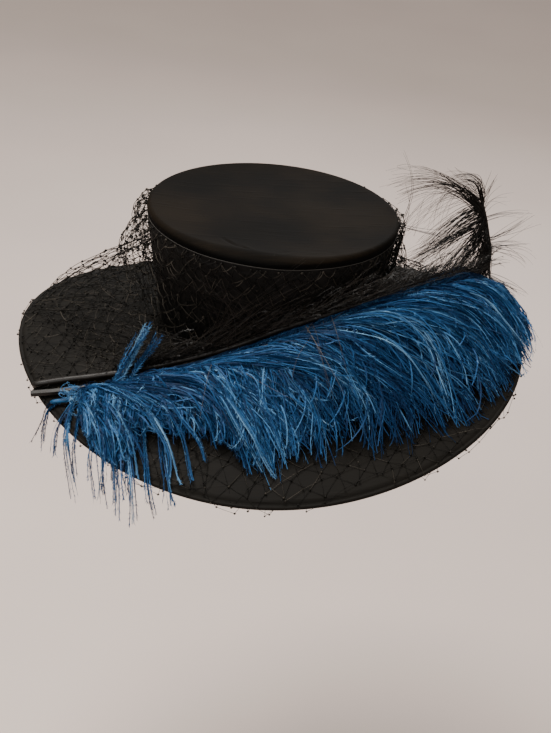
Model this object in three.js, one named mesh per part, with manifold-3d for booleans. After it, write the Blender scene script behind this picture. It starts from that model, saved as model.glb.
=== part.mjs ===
// Wide-brim hat with a gathered net, a blue plume and black quills.
// Millimetres. +Z is the crown's axis, -Y the side that the blue plume lies on.
// The origin is in the middle of the head opening, where the crown meets the brim.
import * as THREE from 'three';
import { mergeVertices } from 'three/addons/utils/BufferGeometryUtils.js';
import Module from 'manifold-3d';

const TAU = Math.PI * 2;
const SEAT_GAP = 0.3;
const SHORTEST_EDGE = 0.01;

// Crown: an ellipse in plan that flares upward
const CROWN_BASE_X = 92.7;
const CROWN_BASE_Y = 88.2;
const CROWN_TOP_X = 112;
const CROWN_TOP_Y = 106.5;
const CROWN_HEIGHT = 110.8;
const CROWN_SEAM = 102;
const CROWN_WALL = 2;
const CROWN_SIDES = 64;

// Top of the crown: a shallow dish with one soft dent in its front edge
const TIP_DISH = 3.2;
const TIP_EDGE_IN = 4.5;
const TIP_EDGE_DOWN = 4.5;
const TIP_DENT_IN = 10;
const TIP_DENT_DOWN = 3.2;
const TIP_DENT_ANGLE = -104;
const TIP_DENT_SPREAD = 30;

// Brim: its rim is an off-centre ellipse in plan, with a saddle-shaped edge
const RIM_X = 228.7;
const RIM_Y = 214.4;
const RIM_CENTRE_X = 9.2;
const RIM_CENTRE_Y = -5.6;
const RIM_DROP = -27.7;
const RIM_SADDLE = 18.5;
const RIM_LIFT_RIGHT = 12;
const RIM_LIFT_BACK = 9.2;
const RIM_TWIST = -1.5;
const BRIM_FALL_POWER = 1.5;
const BRIM_THICK = 2.4;
const BRIM_SIDES = 64;
const BRIM_STEPS = [0, 0.25, 0.5, 0.75, 1];
const COLLAR_HEIGHT = 4;
const COLLAR_WALL = 2;
const RIM_WIRE = 0.7;

// Veil: a diamond net that puffs out at the sides and back
const VEIL_COLUMNS = 18;
const VEIL_ROWS = 6;
const VEIL_TOP = 99.5;
const VEIL_THICK = 1.2;
const VEIL_STRAND = 1.8;
const VEIL_CLEAR = 1.7;
const VEIL_OPEN_ANGLE = 100;
const VEIL_OPEN_RIGHT = 103;
const VEIL_OPEN_LEFT = 96;
const VEIL_GATHERS = 7;
const VEIL_GATHER_DEPTH = 0.06;
// From the rim to the crown's edge: how far off the crown the veil lies, and how high over the brim
const VEIL_PROFILE = [
  { off: 110, high: 0.9 },
  { off: 93, high: 13 },
  { off: 72, high: 19 },
  { off: 53, high: 33 },
  { off: 40, high: 51 },
  { off: 17, high: 77 },
  { off: 3, high: VEIL_TOP },
];

// Blue plume: sections across its quill, from its bare end at the left
const PLUME_CLEAR = 0.95;
const PLUME_PAD = 10;
const PLUME_RIDGE = 4;
const PLUME_STEPS = 15;
const PLUME_TABLE = [
  { x: -163, y: -117, z: -24, back: 3, rise: 1, reach: 14, sweep: 0 },
  { x: -140, y: -117, z: -18, back: 8, rise: 3, reach: 46, sweep: 2 },
  { x: -109, y: -116, z: -9, back: 12, rise: 6, reach: 66, sweep: 6 },
  { x: -60, y: -113, z: 5, back: 8, rise: 7, reach: 72, sweep: 14 },
  { x: -19, y: -112, z: 21, back: 12, rise: 9, reach: 80, sweep: 24 },
  { x: 22, y: -109, z: 39, back: 10, rise: 9, reach: 80, sweep: 32 },
  { x: 65, y: -97, z: 52, back: 9, rise: 8, reach: 84, sweep: 36 },
  { x: 111, y: -68, z: 56, back: 9, rise: 6, reach: 88, sweep: 32 },
  { x: 152, y: -32, z: 53, back: 15, rise: 6, reach: 86, sweep: 24 },
  { x: 188, y: 2, z: 44, back: 22, rise: 5, reach: 74, sweep: 16 },
  { x: 212, y: 28, z: 28, back: 18, rise: 3, reach: 48, sweep: 10 },
  { x: 226, y: 46, z: 15, back: 6, rise: 0, reach: 16, sweep: 4 },
];
const LOCK_COUNT = 23;
const LOCK_WIDTH = 15;
const LOCK_THICK = 7;
const LOCK_STEPS = 4;
const CREST_COUNT = 8;

// Locks of the plume that hang over the rim, by their place on the rim and their tip
const HANGING_TABLE = [
  { rim: -147, from: 0.02, tipX: -191, tipY: -127, tipZ: -74, width: 4 },
  { rim: -141, from: 0.05, tipX: -176, tipY: -148, tipZ: -62, width: 6 },
  { rim: -134, from: 0.1, tipX: -155, tipY: -170, tipZ: -101, width: 8 },
  { rim: -129, from: 0.13, tipX: -137, tipY: -182, tipZ: -90, width: 7 },
  { rim: -124, from: 0.17, tipX: -126, tipY: -190, tipZ: -90, width: 6 },
  { rim: -120, from: 0.2, tipX: -112, tipY: -199, tipZ: -92, width: 8 },
  { rim: -115, from: 0.24, tipX: -98, tipY: -206, tipZ: -72, width: 7 },
];

// Tufts that stand up from the plume's left part
const TUFT_TABLE = [
  { x: -122, y: -114, z: -7, bowX: -116, bowY: -106, bowZ: 16, tipX: -104, tipY: -100, tipZ: 43, width: 9 },
  { x: -112, y: -113, z: -5, bowX: -104, bowY: -104, bowZ: 12, tipX: -97, tipY: -96, tipZ: 27, width: 8 },
];

// Quills: centre line and radius, from the left rim
const QUILL_SIDES = 6;
const QUILL_CLEAR = 0.45;
const QUILL_STEPS = 2;
const BLUE_QUILL = [
  { x: -184, y: -116, z: -29.5, r: 1.9 },
  { x: -163, y: -117, z: -24, r: 2 },
  { x: -140, y: -117, z: -17, r: 2 },
  { x: -122, y: -116.5, z: -12, r: 1.8 },
];
const BLACK_QUILL = [
  { x: -201, y: -94, z: -26.6, r: 3.1 },
  { x: -177, y: -94, z: -20.6, r: 3.1 },
  { x: -144, y: -95, z: -13.4, r: 3.1 },
  { x: -110, y: -96.5, z: -4, r: 3 },
  { x: -77, y: -98, z: 7, r: 2.9 },
  { x: -33, y: -102.5, z: 26, r: 2.8 },
  { x: 5, y: -104, z: 46, r: 2.6 },
  { x: 41, y: -99, z: 59, r: 2.4 },
  { x: 64, y: -91, z: 65, r: 2.3 },
  { x: 111, y: -60, z: 67, r: 2.1 },
  { x: 152, y: -22, z: 62, r: 1.9 },
  { x: 190, y: 18, z: 50, r: 1.7 },
  { x: 207, y: 35, z: 50, r: 1.6 },
  { x: 210, y: 40, z: 62, r: 1.6 },
  { x: 206, y: 42, z: 78, r: 1.5 },
  { x: 200, y: 44, z: 98, r: 1.4 },
  { x: 193, y: 46, z: 115, r: 1.2 },
  { x: 187, y: 48, z: 126, r: 1 },
  { x: 177, y: 50, z: 130, r: 0.8 },
];
const SECOND_QUILL = [
  { x: -201, y: -103.5, z: -29.5, r: 3.1 },
  { x: -164, y: -107, z: -21.5, r: 3.1 },
  { x: -126, y: -105.5, z: -12.5, r: 3 },
  { x: -85, y: -106, z: 0, r: 2.8 },
  { x: -45, y: -110, z: 14.5, r: 2.6 },
  { x: -11, y: -113, z: 31, r: 2.4 },
  { x: 8, y: -113.5, z: 40, r: 2.2 },
];

// Strands of the black plume: the height they leave the quill at, their bow and their tip
const BLACK_BARB_TABLE = [
  { from: 95, bowX: 160, bowY: 50, bowZ: 130, tipX: 113, tipY: 50, tipZ: 121, width: 5 },
  { from: 92, bowX: 159, bowY: 42, bowZ: 123, tipX: 121, tipY: 38, tipZ: 110, width: 5 },
  { from: 103, bowX: 158, bowY: 54, bowZ: 127, tipX: 129, tipY: 58, tipZ: 131, width: 5 },
  { from: 110, bowX: 186, bowY: 47, bowZ: 132, tipX: 163, tipY: 48, tipZ: 128, width: 5 },
  { from: 117, bowX: 179, bowY: 42, bowZ: 132, tipX: 166, tipY: 40, tipZ: 143, width: 4 },
  { from: 94, bowX: 175, bowY: 46, bowZ: 77, tipX: 139, tipY: 44, tipZ: 51, width: 6 },
  { from: 101, bowX: 178, bowY: 52, bowZ: 88, tipX: 157, tipY: 54, tipZ: 56, width: 6 },
  { from: 104, bowX: 172, bowY: 40, bowZ: 95, tipX: 147, tipY: 34, tipZ: 65, width: 5 },
  { from: 97, bowX: 191, bowY: 42, bowZ: 76, tipX: 182, tipY: 38, tipZ: 52, width: 6 },
  { from: 84, bowX: 188, bowY: 48, bowZ: 66, tipX: 172, tipY: 48, tipZ: 42, width: 6 },
  { from: 108, bowX: 200, bowY: 48, bowZ: 124, tipX: 207, tipY: 52, tipZ: 133, width: 4 },
  { from: 94, bowX: 218, bowY: 42, bowZ: 101, tipX: 237, tipY: 40, tipZ: 104, width: 5 },
  { from: 74, bowX: 227, bowY: 46, bowZ: 87, tipX: 243, tipY: 50, tipZ: 97, width: 5 },
  { from: 70, bowX: 228, bowY: 40, bowZ: 74, tipX: 243, tipY: 38, tipZ: 71, width: 5 },
  { from: 66, bowX: 227, bowY: 50, bowZ: 64, tipX: 244, tipY: 54, tipZ: 52, width: 5 },
];

// Numbers and vectors

const radians = (degrees) => (degrees * Math.PI) / 180;

const mix = (a, b, k) => a + (b - a) * k;

const vec = (x, y, z) => new THREE.Vector3(x, y, z);

// A repeatable value between -1 and 1 for the row i
function scatter(i, salt) {
  const v = Math.sin(i * 12.9898 + salt * 78.233) * 43758.5453;
  return 2 * (v - Math.floor(v)) - 1;
}

// The smallest turn from one angle to the other, in degrees
function turnBetween(a, b) {
  return ((((a - b) % 360) + 540) % 360) - 180;
}

// Meshes from rings of points

function signedVolume(points, triangles) {
  let sum = 0;
  for (const [a, b, c] of triangles) {
    sum += points[a].dot(vec(0, 0, 0).crossVectors(points[b], points[c]));
  }
  return sum / 6;
}

function geometryOf(points, triangles) {
  const outward = signedVolume(points, triangles) > 0;
  const index = [];
  for (const [a, b, c] of triangles) {
    index.push(a, outward ? b : c, outward ? c : b);
  }
  const geometry = new THREE.BufferGeometry();
  const flat = points.flatMap((p) => [p.x, p.y, p.z]);
  geometry.setAttribute('position', new THREE.Float32BufferAttribute(flat, 3));
  geometry.setIndex(index);
  return geometry;
}

function bridge(triangles, a, b, count) {
  for (let k = 0; k < count; k += 1) {
    const n = (k + 1) % count;
    triangles.push([a + k, b + k, b + n], [a + k, b + n, a + n]);
  }
}

// Rings joined one after the other, and the last one to the first
function ringLoft(rings) {
  const count = rings[0].length;
  const triangles = [];
  for (let i = 0; i < rings.length; i += 1) {
    bridge(triangles, i * count, ((i + 1) % rings.length) * count, count);
  }
  return geometryOf(rings.flat(), triangles);
}

// Rings joined one after the other, with a point at each end
function poleLoft(first, rings, last) {
  const count = rings[0].length;
  const points = [...rings.flat(), first, last];
  const start = points.length - 2;
  const end = points.length - 1;
  const tail = (rings.length - 1) * count;
  const triangles = [];
  for (let k = 0; k < count; k += 1) {
    const n = (k + 1) % count;
    triangles.push([start, k, n], [end, tail + n, tail + k]);
  }
  for (let i = 0; i + 1 < rings.length; i += 1) {
    bridge(triangles, i * count, (i + 1) * count, count);
  }
  return geometryOf(points, triangles);
}

// Joins and cuts of closed meshes

const wasm = await Module();
wasm.setup();

function solidOf(geometry) {
  const plain = geometry.clone();
  plain.deleteAttribute('normal');
  plain.deleteAttribute('uv');
  const merged = mergeVertices(plain, 1e-4);
  const mesh = new wasm.Mesh({
    numProp: 3,
    vertProperties: new Float32Array(merged.attributes.position.array),
    triVerts: new Uint32Array(merged.index.array),
  });
  return new wasm.Manifold(mesh);
}

// The mesh of a solid, without the slivers that are shorter than SHORTEST_EDGE
function geometryFrom(solid) {
  const mesh = solid.getMesh();
  const geometry = new THREE.BufferGeometry();
  geometry.setAttribute('position', new THREE.BufferAttribute(new Float32Array(mesh.vertProperties), 3));
  geometry.setIndex(new THREE.BufferAttribute(new Uint32Array(mesh.triVerts), 1));
  const merged = mergeVertices(geometry, SHORTEST_EDGE);
  const corners = Array.from(merged.index.array);
  const kept = [];
  for (let i = 0; i < corners.length; i += 3) {
    const [x, y, z] = corners.slice(i, i + 3);
    if (x !== y && y !== z && z !== x) kept.push(x, y, z);
  }
  merged.setIndex(kept);
  return merged;
}

function joined(geometries) {
  return geometries.map(solidOf).reduce((all, next) => all.add(next));
}

// The largest of the bodies that a cut leaves
function mainBody(solid) {
  const bodies = solid.decompose();
  bodies.sort((a, b) => b.volume() - a.volume());
  return bodies[0];
}

// Crown and brim surfaces

function crownHalf(z) {
  const k = z / CROWN_HEIGHT;
  return { x: mix(CROWN_BASE_X, CROWN_TOP_X, k), y: mix(CROWN_BASE_Y, CROWN_TOP_Y, k) };
}

function crownPoint(angle, z, inset) {
  const half = crownHalf(z);
  return vec((half.x - inset) * Math.cos(angle), (half.y - inset) * Math.sin(angle), z);
}

function rimHeight(angle) {
  const saddle = RIM_SADDLE * Math.cos(2 * angle) + RIM_TWIST * Math.cos(3 * angle);
  return RIM_DROP + saddle + RIM_LIFT_RIGHT * Math.cos(angle) + RIM_LIFT_BACK * Math.sin(angle);
}

// A point of the brim's top: reach is 0 at the crown and 1 at the rim
function brimPoint(angle, reach) {
  const x = mix(CROWN_BASE_X * Math.cos(angle), RIM_CENTRE_X + RIM_X * Math.cos(angle), reach);
  const y = mix(CROWN_BASE_Y * Math.sin(angle), RIM_CENTRE_Y + RIM_Y * Math.sin(angle), reach);
  return vec(x, y, rimHeight(angle) * reach ** BRIM_FALL_POWER);
}

// Where a point in plan lies on the brim
function brimSpot(x, y) {
  const off = (s) => {
    const u = (x - s * RIM_CENTRE_X) / mix(CROWN_BASE_X, RIM_X, s);
    const v = (y - s * RIM_CENTRE_Y) / mix(CROWN_BASE_Y, RIM_Y, s);
    return { over: u * u + v * v - 1, angle: Math.atan2(v, u) };
  };
  let low = 0;
  let high = 1.6;
  for (let i = 0; i < 30; i += 1) {
    const middle = (low + high) / 2;
    if (off(middle).over > 0) low = middle;
    else high = middle;
  }
  return { reach: low, angle: off(low).angle };
}

// Height of the built, stepped brim under a point in plan
function brimTop(x, y) {
  const { reach, angle } = brimSpot(x, y);
  const rim = rimHeight(angle);
  const step = Math.max(1, BRIM_STEPS.findIndex((s) => s >= Math.min(reach, 1)));
  const low = BRIM_STEPS[step - 1];
  const high = BRIM_STEPS[step];
  const k = (reach - low) / (high - low);
  return rim * mix(low ** BRIM_FALL_POWER, high ** BRIM_FALL_POWER, k);
}

function circle(count, pointAt) {
  return Array.from({ length: count }, (_, i) => pointAt((i / count) * TAU));
}

// Crown

function crownSide() {
  const low = SEAT_GAP;
  const high = CROWN_SEAM - SEAT_GAP / 2;
  return ringLoft(circle(CROWN_SIDES, (angle) => [
    crownPoint(angle, low, 0),
    crownPoint(angle, high, 0),
    crownPoint(angle, high, CROWN_WALL),
    crownPoint(angle, low, CROWN_WALL),
  ]));
}

// How far the top's edge is rounded in and down at an angle
function tipEdge(angle) {
  const turn = turnBetween((angle * 180) / Math.PI, TIP_DENT_ANGLE) / TIP_DENT_SPREAD;
  const dent = Math.exp(-turn * turn);
  return { inward: TIP_EDGE_IN + TIP_DENT_IN * dent, down: TIP_EDGE_DOWN + TIP_DENT_DOWN * dent };
}

// Relief of the top: a dish, with a shallow swell along its back and right
function tipRelief(angle, radius) {
  const dish = -TIP_DISH * (1 - radius ** 4);
  const swell = 0.9 * Math.sin(2 * angle + 0.6) * radius * radius * (1 - radius);
  return dish + 3 * swell;
}

function tipRing(radius, offset) {
  return circle(CROWN_SIDES, (angle) => {
    const edge = tipEdge(angle);
    const half = crownHalf(CROWN_HEIGHT);
    const x = (half.x - edge.inward) * radius * Math.cos(angle);
    const y = (half.y - edge.inward) * radius * Math.sin(angle);
    return vec(x, y, CROWN_HEIGHT + tipRelief(angle, radius) + offset);
  });
}

// A ring of the rounded edge: turn is 0 at the top and 1 at the side
function tipEdgeRing(turn, wall) {
  return circle(CROWN_SIDES, (angle) => {
    const edge = tipEdge(angle);
    const bend = (turn * Math.PI) / 2;
    const z = CROWN_HEIGHT - edge.down + (edge.down - wall) * Math.cos(bend);
    const inset = edge.inward - (edge.inward - wall) * Math.sin(bend);
    return crownPoint(angle, z, inset);
  });
}

function crownTip() {
  const low = CROWN_SEAM + SEAT_GAP / 2;
  const rings = [
    tipRing(0.45, 0),
    tipRing(0.82, 0),
    tipEdgeRing(0, 0),
    tipEdgeRing(0.33, 0),
    tipEdgeRing(0.66, 0),
    tipEdgeRing(1, 0),
    circle(CROWN_SIDES, (angle) => crownPoint(angle, low, 0)),
    circle(CROWN_SIDES, (angle) => crownPoint(angle, low, CROWN_WALL)),
    tipEdgeRing(1, CROWN_WALL),
    tipEdgeRing(0.3, CROWN_WALL),
  ];
  const top = vec(0, 0, CROWN_HEIGHT - TIP_DISH);
  return poleLoft(top, rings, vec(0, 0, top.z - CROWN_WALL));
}

// Brim: one section from the collar out to the wired rim and back underneath

function brimSection(angle) {
  const insetPoint = (inset, z) => crownPoint(angle, 0, inset).setZ(z);
  const collarOut = CROWN_WALL + SEAT_GAP;
  const collarIn = collarOut + COLLAR_WALL;
  const rim = brimPoint(angle, 1);
  const outward = rim.clone().sub(brimPoint(angle, 0)).setZ(0).normalize();
  const near = (inward, up) => rim.clone().addScaledVector(outward, -inward).add(vec(0, 0, up));
  const inner = BRIM_STEPS.slice(0, -1);
  const top = inner.map((s) => brimPoint(angle, s));
  const under = inner.map((s) => brimPoint(angle, s).add(vec(0, 0, -BRIM_THICK))).reverse();
  return [
    insetPoint(collarIn, COLLAR_HEIGHT),
    insetPoint(collarOut, COLLAR_HEIGHT),
    insetPoint(collarOut, 0),
    ...top,
    near(3.4, 0),
    near(1.4, RIM_WIRE),
    near(0, -BRIM_THICK / 2),
    near(1.4, -BRIM_THICK - RIM_WIRE),
    near(3.4, -BRIM_THICK),
    ...under,
    insetPoint(collarIn, -BRIM_THICK),
  ];
}

// Veil: the surface that falls from the crown's edge out over the brim, then the net cut through it

// 1 where the veil stands off at the back and sides, 0 where it lies on the crown at the front
function veilOpen(angle) {
  const turn = turnBetween((angle * 180) / Math.PI, VEIL_OPEN_ANGLE);
  const spread = turn < 0 ? VEIL_OPEN_RIGHT : VEIL_OPEN_LEFT;
  const gather = 1 + VEIL_GATHER_DEPTH * Math.sin(VEIL_GATHERS * angle);
  return Math.exp(-((turn / spread) ** 8)) * gather;
}

function veilPoint(column, height) {
  const angle = (column / VEIL_COLUMNS) * TAU;
  const open = veilOpen(angle);
  const place = height * (VEIL_PROFILE.length - 1);
  const row = Math.min(Math.floor(place), VEIL_PROFILE.length - 2);
  const [below, above] = [VEIL_PROFILE[row], VEIL_PROFILE[row + 1]];
  const off = VEIL_CLEAR + open * mix(below.off, above.off, place - row);
  const flatHigh = mix(VEIL_PROFILE[0].high, VEIL_TOP, height);
  const high = mix(flatHigh, mix(below.high, above.high, place - row), Math.min(open, 1));
  const point = crownPoint(angle, high, -off);
  for (let i = 0; i < 3; i += 1) {
    point.copy(crownPoint(angle, brimTop(point.x, point.y) + high, -off));
  }
  return height < 1 ? point : point.setZ(VEIL_TOP);
}

function veilFrame(column, height) {
  const step = 0.01;
  const low = Math.min(Math.max(height, step), 1 - step);
  const across = veilPoint(column + step, height).sub(veilPoint(column - step, height));
  const along = veilPoint(column, low + step).sub(veilPoint(column, low - step));
  const normal = vec(0, 0, 0).crossVectors(across, along).normalize();
  const width = across.length() / (2 * step);
  const length = along.length() / (2 * step);
  return { normal, width, length };
}

// The four corners of the knot where the strands of one place meet
function veilKnot(column, height) {
  const { width, length } = veilFrame(column, height);
  const du = (VEIL_STRAND * 0.72) / width;
  const dv = (VEIL_STRAND * 0.72) / length;
  return {
    left: [column - du, height],
    right: [column + du, height],
    up: [column, Math.min(height + dv, 1)],
    down: [column, Math.max(height - dv, 0)],
  };
}

// Thickens flat faces that share corners, and walls every open edge
function thicken(corners, faces) {
  const points = [];
  for (const [column, height] of corners) {
    const middle = veilPoint(column, height);
    const { normal } = veilFrame(column, height);
    points.push(middle.clone().addScaledVector(normal, VEIL_THICK / 2));
    points.push(middle.clone().addScaledVector(normal, -VEIL_THICK / 2));
  }
  const edges = new Map();
  const triangles = [];
  for (const face of faces) {
    const [a, b, c, d] = face.map((corner) => corner * 2);
    triangles.push([a, b, c], [a, c, d]);
    triangles.push([a + 1, c + 1, b + 1], [a + 1, d + 1, c + 1]);
    face.forEach((from, i) => {
      const to = face[(i + 1) % face.length];
      edges.set(`${from},${to}`, [from, to]);
    });
  }
  for (const [from, to] of edges.values()) {
    if (edges.has(`${to},${from}`)) continue;
    triangles.push([from * 2, from * 2 + 1, to * 2 + 1], [from * 2, to * 2 + 1, to * 2]);
  }
  return geometryOf(points, triangles);
}

function veil() {
  const corners = [];
  const knots = [];
  for (let row = 0; row <= VEIL_ROWS; row += 1) {
    knots.push([]);
    for (let i = 0; i < VEIL_COLUMNS; i += 1) {
      const knot = veilKnot(i + (row % 2) / 2, row / VEIL_ROWS);
      const place = {};
      for (const side of ['left', 'right', 'up', 'down']) {
        place[side] = corners.length;
        corners.push(knot[side]);
      }
      knots[row].push(place);
    }
  }
  const faces = knots.flat().map((k) => [k.left, k.down, k.right, k.up]);
  for (let row = 0; row < VEIL_ROWS; row += 1) {
    for (let i = 0; i < VEIL_COLUMNS; i += 1) {
      const low = knots[row][i];
      const rightAbove = knots[row + 1][(i + (row % 2)) % VEIL_COLUMNS];
      const leftAbove = knots[row + 1][(i + (row % 2) + VEIL_COLUMNS - 1) % VEIL_COLUMNS];
      faces.push([low.right, rightAbove.down, rightAbove.left, low.up]);
      faces.push([low.up, leftAbove.right, leftAbove.down, low.left]);
    }
  }
  return thicken(corners, faces);
}

// Quills and locks

// A round rod that tapers along rows of centre and radius
function rod(rows, extra) {
  const curve = new THREE.CatmullRomCurve3(rows.map((row) => vec(row.x, row.y, row.z)));
  const steps = QUILL_STEPS * (rows.length - 1);
  const rings = [];
  let side = vec(0, 0, 1);
  for (let i = 0; i <= steps; i += 1) {
    const k = i / QUILL_STEPS;
    const row = Math.min(Math.floor(k), rows.length - 2);
    const radius = mix(rows[row].r, rows[row + 1].r, k - row) + extra;
    const middle = curve.getPoint(i / steps);
    const tangent = curve.getTangent(i / steps);
    side = side.clone().addScaledVector(tangent, -side.dot(tangent)).normalize();
    const other = vec(0, 0, 0).crossVectors(tangent, side);
    rings.push(circle(QUILL_SIDES, (turn) => middle
      .clone()
      .addScaledVector(side, radius * Math.cos(turn))
      .addScaledVector(other, radius * Math.sin(turn))));
  }
  const first = curve.getPoint(0).addScaledVector(curve.getTangent(0), -extra);
  const last = curve.getPoint(1).addScaledVector(curve.getTangent(1), rows[rows.length - 1].r + extra);
  return poleLoft(first, rings, last);
}

// A lock: a strip with a lens-shaped section that ends in a point
function lock(path, up, width, thick) {
  const curve = new THREE.CatmullRomCurve3(path);
  const steps = LOCK_STEPS;
  const rings = [];
  for (let i = 0; i < steps; i += 1) {
    const k = i / steps;
    const middle = curve.getPoint(k);
    const across = vec(0, 0, 0).crossVectors(curve.getTangent(k), up).normalize();
    const raised = vec(0, 0, 0).crossVectors(across, curve.getTangent(k)).normalize();
    const shape = Math.sin(Math.PI * (0.12 + 0.8 * k)) ** 0.8;
    const half = (width / 2) * shape;
    const body = Math.max(thick * shape, 1);
    rings.push([
      middle.clone().addScaledVector(across, -half),
      middle.clone().addScaledVector(raised, body * 0.5),
      middle.clone().addScaledVector(across, half),
      middle.clone().addScaledVector(raised, -body * 0.5),
    ]);
  }
  return poleLoft(curve.getPoint(0), rings, curve.getPoint(1));
}

// Blue plume

const plumeLine = new THREE.CatmullRomCurve3(PLUME_TABLE.map((row) => vec(row.x, row.y, row.z)));

// The plume's values at a place along it, from 0 at the bare quill to 1
function plumeStation(along) {
  const k = Math.min(Math.max(along, 0), 1) * (PLUME_TABLE.length - 1);
  const row = Math.min(Math.floor(k), PLUME_TABLE.length - 2);
  const part = k - row;
  const value = (name) => mix(PLUME_TABLE[row][name], PLUME_TABLE[row + 1][name], part);
  const clamped = Math.min(Math.max(along, 0), 1);
  const tangent = plumeLine.getTangent(clamped);
  const outward = vec(tangent.y, -tangent.x, 0).normalize();
  return {
    quill: plumeLine.getPoint(clamped),
    outward,
    tangent,
    back: value('back'),
    rise: value('rise'),
    reach: value('reach'),
    sweep: value('sweep'),
  };
}

// A point of the plume's skin: across is 0 on the quill, 1 at the tips and -1 at the back
function plumeSkin(along, across, lift) {
  const station = plumeStation(along);
  const distance = across < 0 ? across * station.back : across * station.reach;
  const point = station.quill.clone().addScaledVector(station.outward, distance);
  const floor = brimTop(point.x, point.y) + PLUME_CLEAR;
  const tip = station.quill.clone().addScaledVector(station.outward, station.reach);
  const tipZ = brimTop(tip.x, tip.y) + PLUME_CLEAR + 2.5;
  const ridge = station.quill.z + PLUME_RIDGE;
  const back = ridge + station.rise * Math.min(-across, 1.4);
  const front = mix(ridge, tipZ, Math.min(across, 1.1) ** 1.5);
  point.z = Math.max((across < 0 ? back : front) + lift, floor + Math.max(lift, 0));
  return point;
}

function plumeSection(along) {
  const above = [-1, 0, 0.25, 0.5, 0.75, 0.92].map((across) => plumeSkin(along, across, 1));
  const below = [0.92, 0.7, 0.4, 0, -1].map((across) => plumeSkin(along, across, -PLUME_PAD));
  return [...above, ...below];
}

function plumePad() {
  const sections = [];
  for (let i = 0; i <= PLUME_STEPS; i += 1) {
    sections.push(plumeSection(i / PLUME_STEPS));
  }
  const middle = (ring) => ring
    .reduce((sum, point) => sum.add(point), vec(0, 0, 0))
    .divideScalar(ring.length);
  return poleLoft(middle(sections[0]), sections, middle(sections[sections.length - 1]));
}

// Locks that sweep from the quill down to the rim
function plumeLocks() {
  return Array.from({ length: LOCK_COUNT }, (_, i) => {
    const start = 0.05 + (0.87 * (i + 0.3 * scatter(i, 1))) / LOCK_COUNT;
    const station = plumeStation(start);
    const end = 1.13 + 0.1 * scatter(i, 2);
    const sweep = (station.sweep / plumeLine.getLength()) * (1 + 0.3 * scatter(i, 3));
    const path = [0.05, 0.3, 0.55, 0.8, end].map((across) => {
      const lift = 1.2 + 3.2 * Math.sin(Math.PI * Math.min(across, 1));
      return plumeSkin(start + sweep * across ** 1.4, across, lift);
    });
    return lock(path, vec(0, -0.3, 1), LOCK_WIDTH * (1 + 0.2 * scatter(i, 4)), LOCK_THICK);
  });
}

// Short locks that curl up along the back of the quill
function plumeCrest() {
  return Array.from({ length: CREST_COUNT }, (_, i) => {
    const start = 0.2 + (0.74 * i) / CREST_COUNT;
    const path = [0.15, -0.5, -1 - 0.25 * scatter(i, 5)].map((across, k) => (
      plumeSkin(start + 0.012 * k, across, 2 + 1.5 * k)
    ));
    return lock(path, vec(0, -0.6, 1), 10, 5);
  });
}

function hangingLocks() {
  return HANGING_TABLE.map((row) => {
    const rim = brimPoint(radians(row.rim), 1);
    const outward = rim.clone().sub(brimPoint(radians(row.rim), 0)).setZ(0).normalize();
    const over = brimPoint(radians(row.rim), 0.97).add(vec(0, 0, 4.2));
    const beside = rim.clone().addScaledVector(outward, 4.6).add(vec(0, 0, -2));
    const path = [plumeSkin(row.from, 0.5, 1), over, beside, vec(row.tipX, row.tipY, row.tipZ)];
    return lock(path, outward.clone().add(vec(0, 0, 1)), row.width, 2.6);
  });
}

function bowedLock(start, row, thick) {
  const path = [start, vec(row.bowX, row.bowY, row.bowZ), vec(row.tipX, row.tipY, row.tipZ)];
  return lock(path, vec(0, -1, 0.2), row.width, thick);
}

function bluePlume() {
  const tufts = TUFT_TABLE.map((row) => bowedLock(vec(row.x, row.y, row.z), row, 3));
  const parts = [plumePad(), rod(BLUE_QUILL, 0)];
  const all = joined([...parts, ...plumeLocks(), ...plumeCrest(), ...hangingLocks(), ...tufts]);
  const quills = joined([rod(BLACK_QUILL, QUILL_CLEAR), rod(SECOND_QUILL, QUILL_CLEAR)]);
  return geometryFrom(mainBody(all.subtract(quills)));
}

// Black plume: the quill with its strands

function blackPlume() {
  const standing = BLACK_QUILL.slice(-7);
  const barbs = BLACK_BARB_TABLE.map((row) => {
    const next = Math.max(1, standing.findIndex((point) => point.z >= row.from));
    const a = standing[next - 1];
    const b = standing[next];
    const k = (row.from - a.z) / (b.z - a.z);
    return bowedLock(vec(mix(a.x, b.x, k), mix(a.y, b.y, k), row.from), row, 1.4);
  });
  return geometryFrom(mainBody(joined([rod(BLACK_QUILL, 0), ...barbs])));
}

// Materials and the finished part

function material(colour, roughness) {
  return new THREE.MeshStandardMaterial({ color: colour, roughness, metalness: 0 });
}

function node(name, geometry, look) {
  const mesh = new THREE.Mesh(geometry, look);
  mesh.name = name;
  geometry.computeVertexNormals();
  return mesh;
}

const hat = new THREE.Group();
hat.name = 'wide_brim_hat';
hat.add(node('crown_tip', crownTip(), material('#2a2826', 0.75)));
hat.add(node('crown_side', crownSide(), material('#141313', 0.75)));
hat.add(node('brim', ringLoft(circle(BRIM_SIDES, brimSection)), material('#161515', 0.8)));
hat.add(node('veil', veil(), material('#0c0c0c', 0.85)));
hat.add(node('blue_plume', bluePlume(), material('#1f6ea8', 0.7)));
hat.add(node('black_plume', blackPlume(), material('#0e0d0d', 0.5)));
hat.add(node('second_quill', rod(SECOND_QUILL, 0), material('#15120f', 0.4)));

export default hat;
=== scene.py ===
import math

import bpy
import numpy as np
from mathutils import Matrix, Vector


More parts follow.
